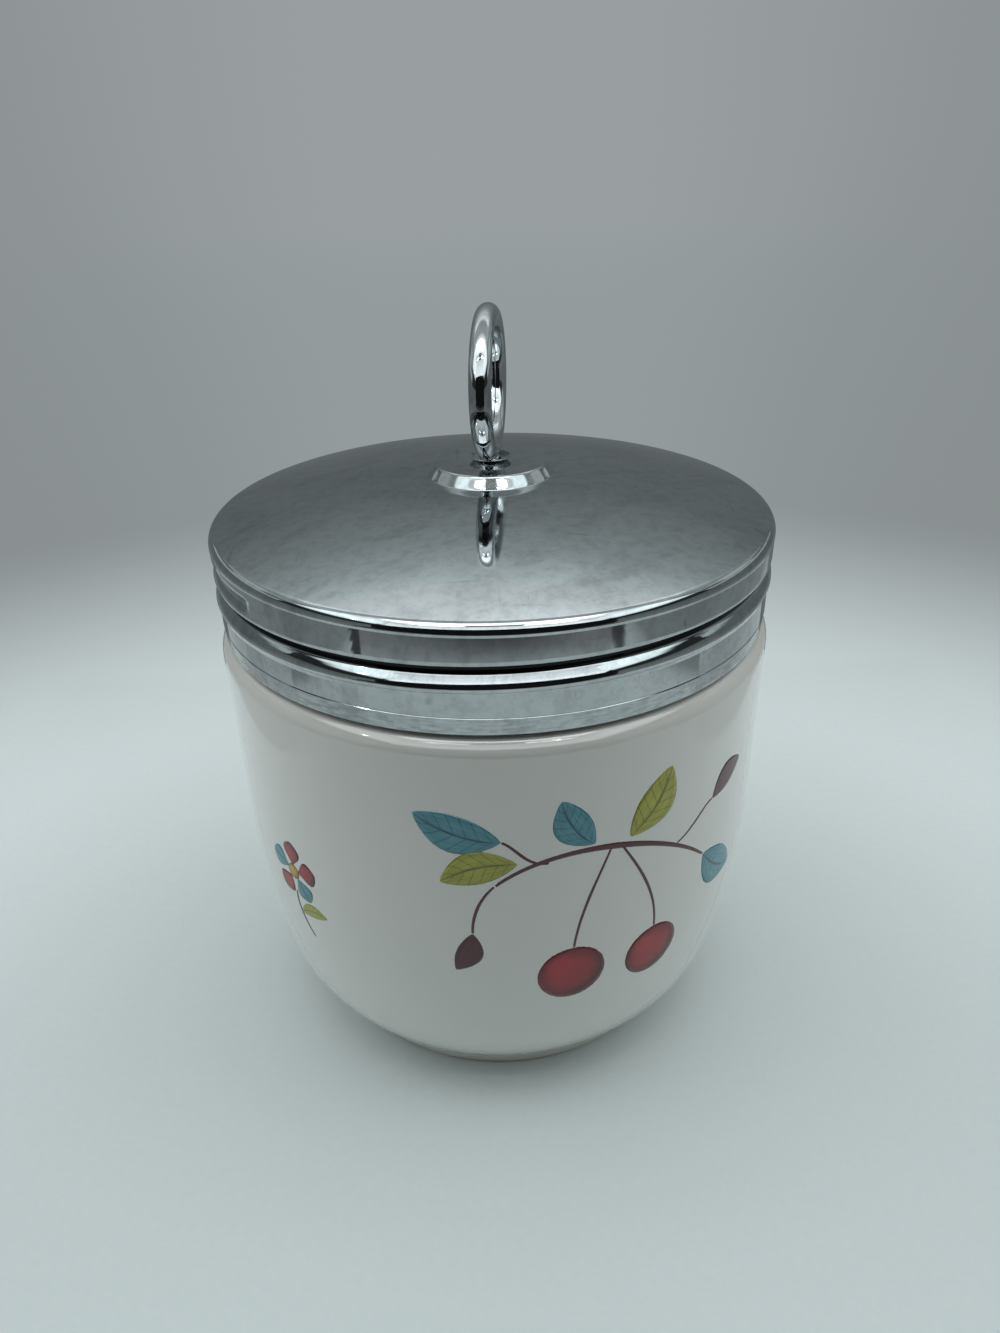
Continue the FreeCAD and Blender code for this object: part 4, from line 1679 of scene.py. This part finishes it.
@dataclass
class Tent:
    """The pale tent of light round the object, open in front, in metres.

    Levels are how brightly a panel glows at places along it.
    """

    side: float = 0.118
    back: float = 0.1
    front: float = -0.14
    seam: float = -0.03
    opening: float = -0.1
    top: float = 0.23
    low: float = 0.001
    wing_foot: float = 0.05
    flap_foot: float = -0.288
    inset: float = 0.0005
    seam_share: float = 0.995
    teeth: int = 13
    tooth: Place = (0.005, 0.0015)
    seam_level: float = 0.06
    patch: tuple[Place, Place] = ((0.0, 0.128), (0.05, 0.162))

    REAR_LEVELS = (
        (0.0, 0.5), (0.018, 0.48), (0.026, 0.42), (0.03, 0.28), (0.042, 0.26), (0.07, 0.17),
        (0.108, 0.17), (0.114, 0.55), (0.121, 0.55), (0.128, 0.17), (0.138, 0.2),
        (0.146, 0.42), (0.158, 0.42), (0.168, 0.32), (0.185, 0.42), (0.23, 0.7),
    )
    WING_LEVELS = (
        (0.0, 0.6), (0.014, 0.54), (0.0175, 0.46), (0.021, 0.26), (0.07, 0.19), (0.1, 0.16),
        (0.106, 0.03), (0.138, 0.03), (0.15, 1.5), (0.18, 1.9), (0.23, 1.9),
    )
    BACK_LEVELS = (
        (0.0, 0.17), (0.09, 0.16), (0.13, 0.19), (0.17, 0.31), (0.2, 0.48), (0.23, 0.8)
    )
    CEILING_LEVELS = (
        (-0.1, 1.8), (-0.06, 1.5), (-0.03, 1.2), (-0.012, 0.5), (0.035, 0.5), (0.055, 1.35),
        (0.08, 1.0), (0.1, 0.8),
    )
    FLAP_LEVELS = ((0.2155, 1.9), (0.26, 1.6), (0.33, 1.0), (0.4, 0.9))
    SIDES = (
        ("left", -1, -0.112, (0.014, 0.0105), 0.52), ("right", 1, -0.139, (0.023, 0.0045), 0.57)
    )
    SMALL_PANELS = (
        ("window_left", (-0.1165, -0.101, 0.156), (-0.1165, -0.093, 0.164), 26.0),
        ("window_right", (0.053, -0.118, 0.2275), (0.065, -0.11, 0.2275), 26.0),
        ("ceiling_gap", (-0.026, -0.128, 0.2195), (0.026, -0.09, 0.2195), 0.25),
    )
    LAMPS = (
        Lamp("strip_front", (0.0, -0.115, 0.222), (0.16, 0.004), 0.03),
        Lamp("strip_middle", (0.0, -0.06, 0.226), (0.16, 0.05), 0.06, (0.0, -0.06, 0.0)),
        Lamp("fill_left", (-0.5, 0.05, 0.25), (0.4, 0.4), 0.57, mirrored=False),
        Lamp("fill_right", (0.5, 0.05, 0.25), (0.4, 0.4), 0.54, mirrored=False),
    )

    def build_side(self, name: str, x: float, cut: float, hem: Place, level: float) -> None:
        """Hang one side: its wall, its wing in front, a ragged seam and a brighter patch.

        Args:
            name: Which side it is.
            x: Where it hangs.
            cut: Where the wing's lower part ends in front.
            hem: The seam's breadth and the height of its foot.
            level: The patch's level.
        """
        wall = rectangle((x, self.seam, self.low), (x, self.back, self.top))
        Panel(f"tent_{name}", wall, self.REAR_LEVELS, hue=TENT_LIGHT).build()
        wing = (
            (x, cut, self.low), (x, self.seam, self.low), (x, self.seam, self.top),
            (x, self.front, self.top), (x, self.front, self.wing_foot), (x, cut, self.wing_foot),
        )
        Panel(f"wing_{name}", wing, self.WING_LEVELS, hue=TENT_LIGHT).build()
        inside, (breadth, foot), (deep, high) = x * self.seam_share, hem, self.tooth
        teeth = [
            (inside, cut + breadth - deep * (step % 2), foot + high * step)
            for step in range(self.teeth)
        ]
        seam = ((inside, cut, foot), *teeth, (inside, cut, teeth[-1][2]))
        Panel(f"seam_{name}", seam, steady(self.seam_level)).build()
        low, high = ((x - math.copysign(self.inset, x), *place) for place in self.patch)
        Panel(f"patch_{name}", rectangle(low, high), steady(level)).build()

    def build(self) -> None:
        """Hang the tent's panels and lamps."""
        side, back, top = self.side, self.back, self.top
        for name, x, *shape in self.SIDES:
            self.build_side(name, x * side, *shape)
        corners = rectangle((-side, back, self.low), (side, back, top))
        Panel("tent_back", corners, self.BACK_LEVELS, hue=TENT_LIGHT).build()
        corners = rectangle((-side, self.opening, top), (side, back, top))
        Panel("tent_top", corners, self.CEILING_LEVELS, 1).build()
        corners = rectangle(
            (-side * 2, self.flap_foot, self.FLAP_LEVELS[0][0]),
            (side * 2, self.opening, self.FLAP_LEVELS[-1][0]),
        )
        Panel("tent_flap", corners, self.FLAP_LEVELS).build()
        for name, low, high, level in self.SMALL_PANELS:
            Panel(name, rectangle(low, high), steady(level)).build()
        for lamp in self.LAMPS:
            lamp.build()


def dress(node: str, material: Material) -> None:
    """Give a part that keeps its own shape a finished material.

    Args:
        node: The part's node.
        material: The material.
    """
    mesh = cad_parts[node].data
    mesh.materials.clear()
    mesh.materials.append(material)
    LOG.info("%s: dressed", node)


def main() -> None:
    """Build the studio and each piece of the coddler."""
    logging.basicConfig(level=logging.INFO, format="%(message)s")
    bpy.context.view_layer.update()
    Camera().build()
    floor = Floor()
    floor.build_world()
    floor.build()
    Tent().build()
    bpy.context.scene.view_settings.view_transform = "Standard"

    turning = turning_tree()
    pot = Pot(radius=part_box("pot")[1].x / MM)
    pot.build(Lathe(turning, GlazedPorcelain().material()))
    lid_plate = LidPlate("lid_plate", tint(193, 198, 200), 0.04, 0.05, 0.08)
    Lid().build(Lathe(turning, lid_plate.material()))
    bright_plate = PolishedPlate("bright_plate", tint(200, 204, 206), 0.03, 0.02, 0.04)
    bright = Lathe(turning, bright_plate.material())
    fittings = RingFittings()
    fittings.build_ring(bright, wire_ring_tree())
    fittings.build_collar(bright)
    dress("backing_washer", RolledMetal().material())

    decoration = Decoration(WallMap(pot))
    decoration.spray(Cluster(bearing=20.0, height=39.0))
    decoration.blossom(Cluster(bearing=-46.0, height=38.0))
    decoration.spray(Cluster(bearing=190.0, height=40.0, mirror=True, scale=0.85))
    decoration.blossom(Cluster(bearing=112.0, height=46.0, mirror=True))
    decoration.build((
        Enamel("enamel_crimson", tint(176, 34, 46), tint(84, 8, 20), Stroke.ROUND),
        Enamel("enamel_teal", tint(92, 158, 172), tint(24, 74, 92), Stroke.LEAF),
        Enamel("enamel_olive", tint(184, 182, 72), tint(92, 96, 28), Stroke.LEAF),
        Enamel("enamel_maroon", tint(104, 42, 48), tint(48, 16, 24), Stroke.LINE),
        Enamel("enamel_ochre", tint(208, 168, 62), tint(140, 92, 30), Stroke.ROUND),
    ))


if __name__ == "__main__":
    main()
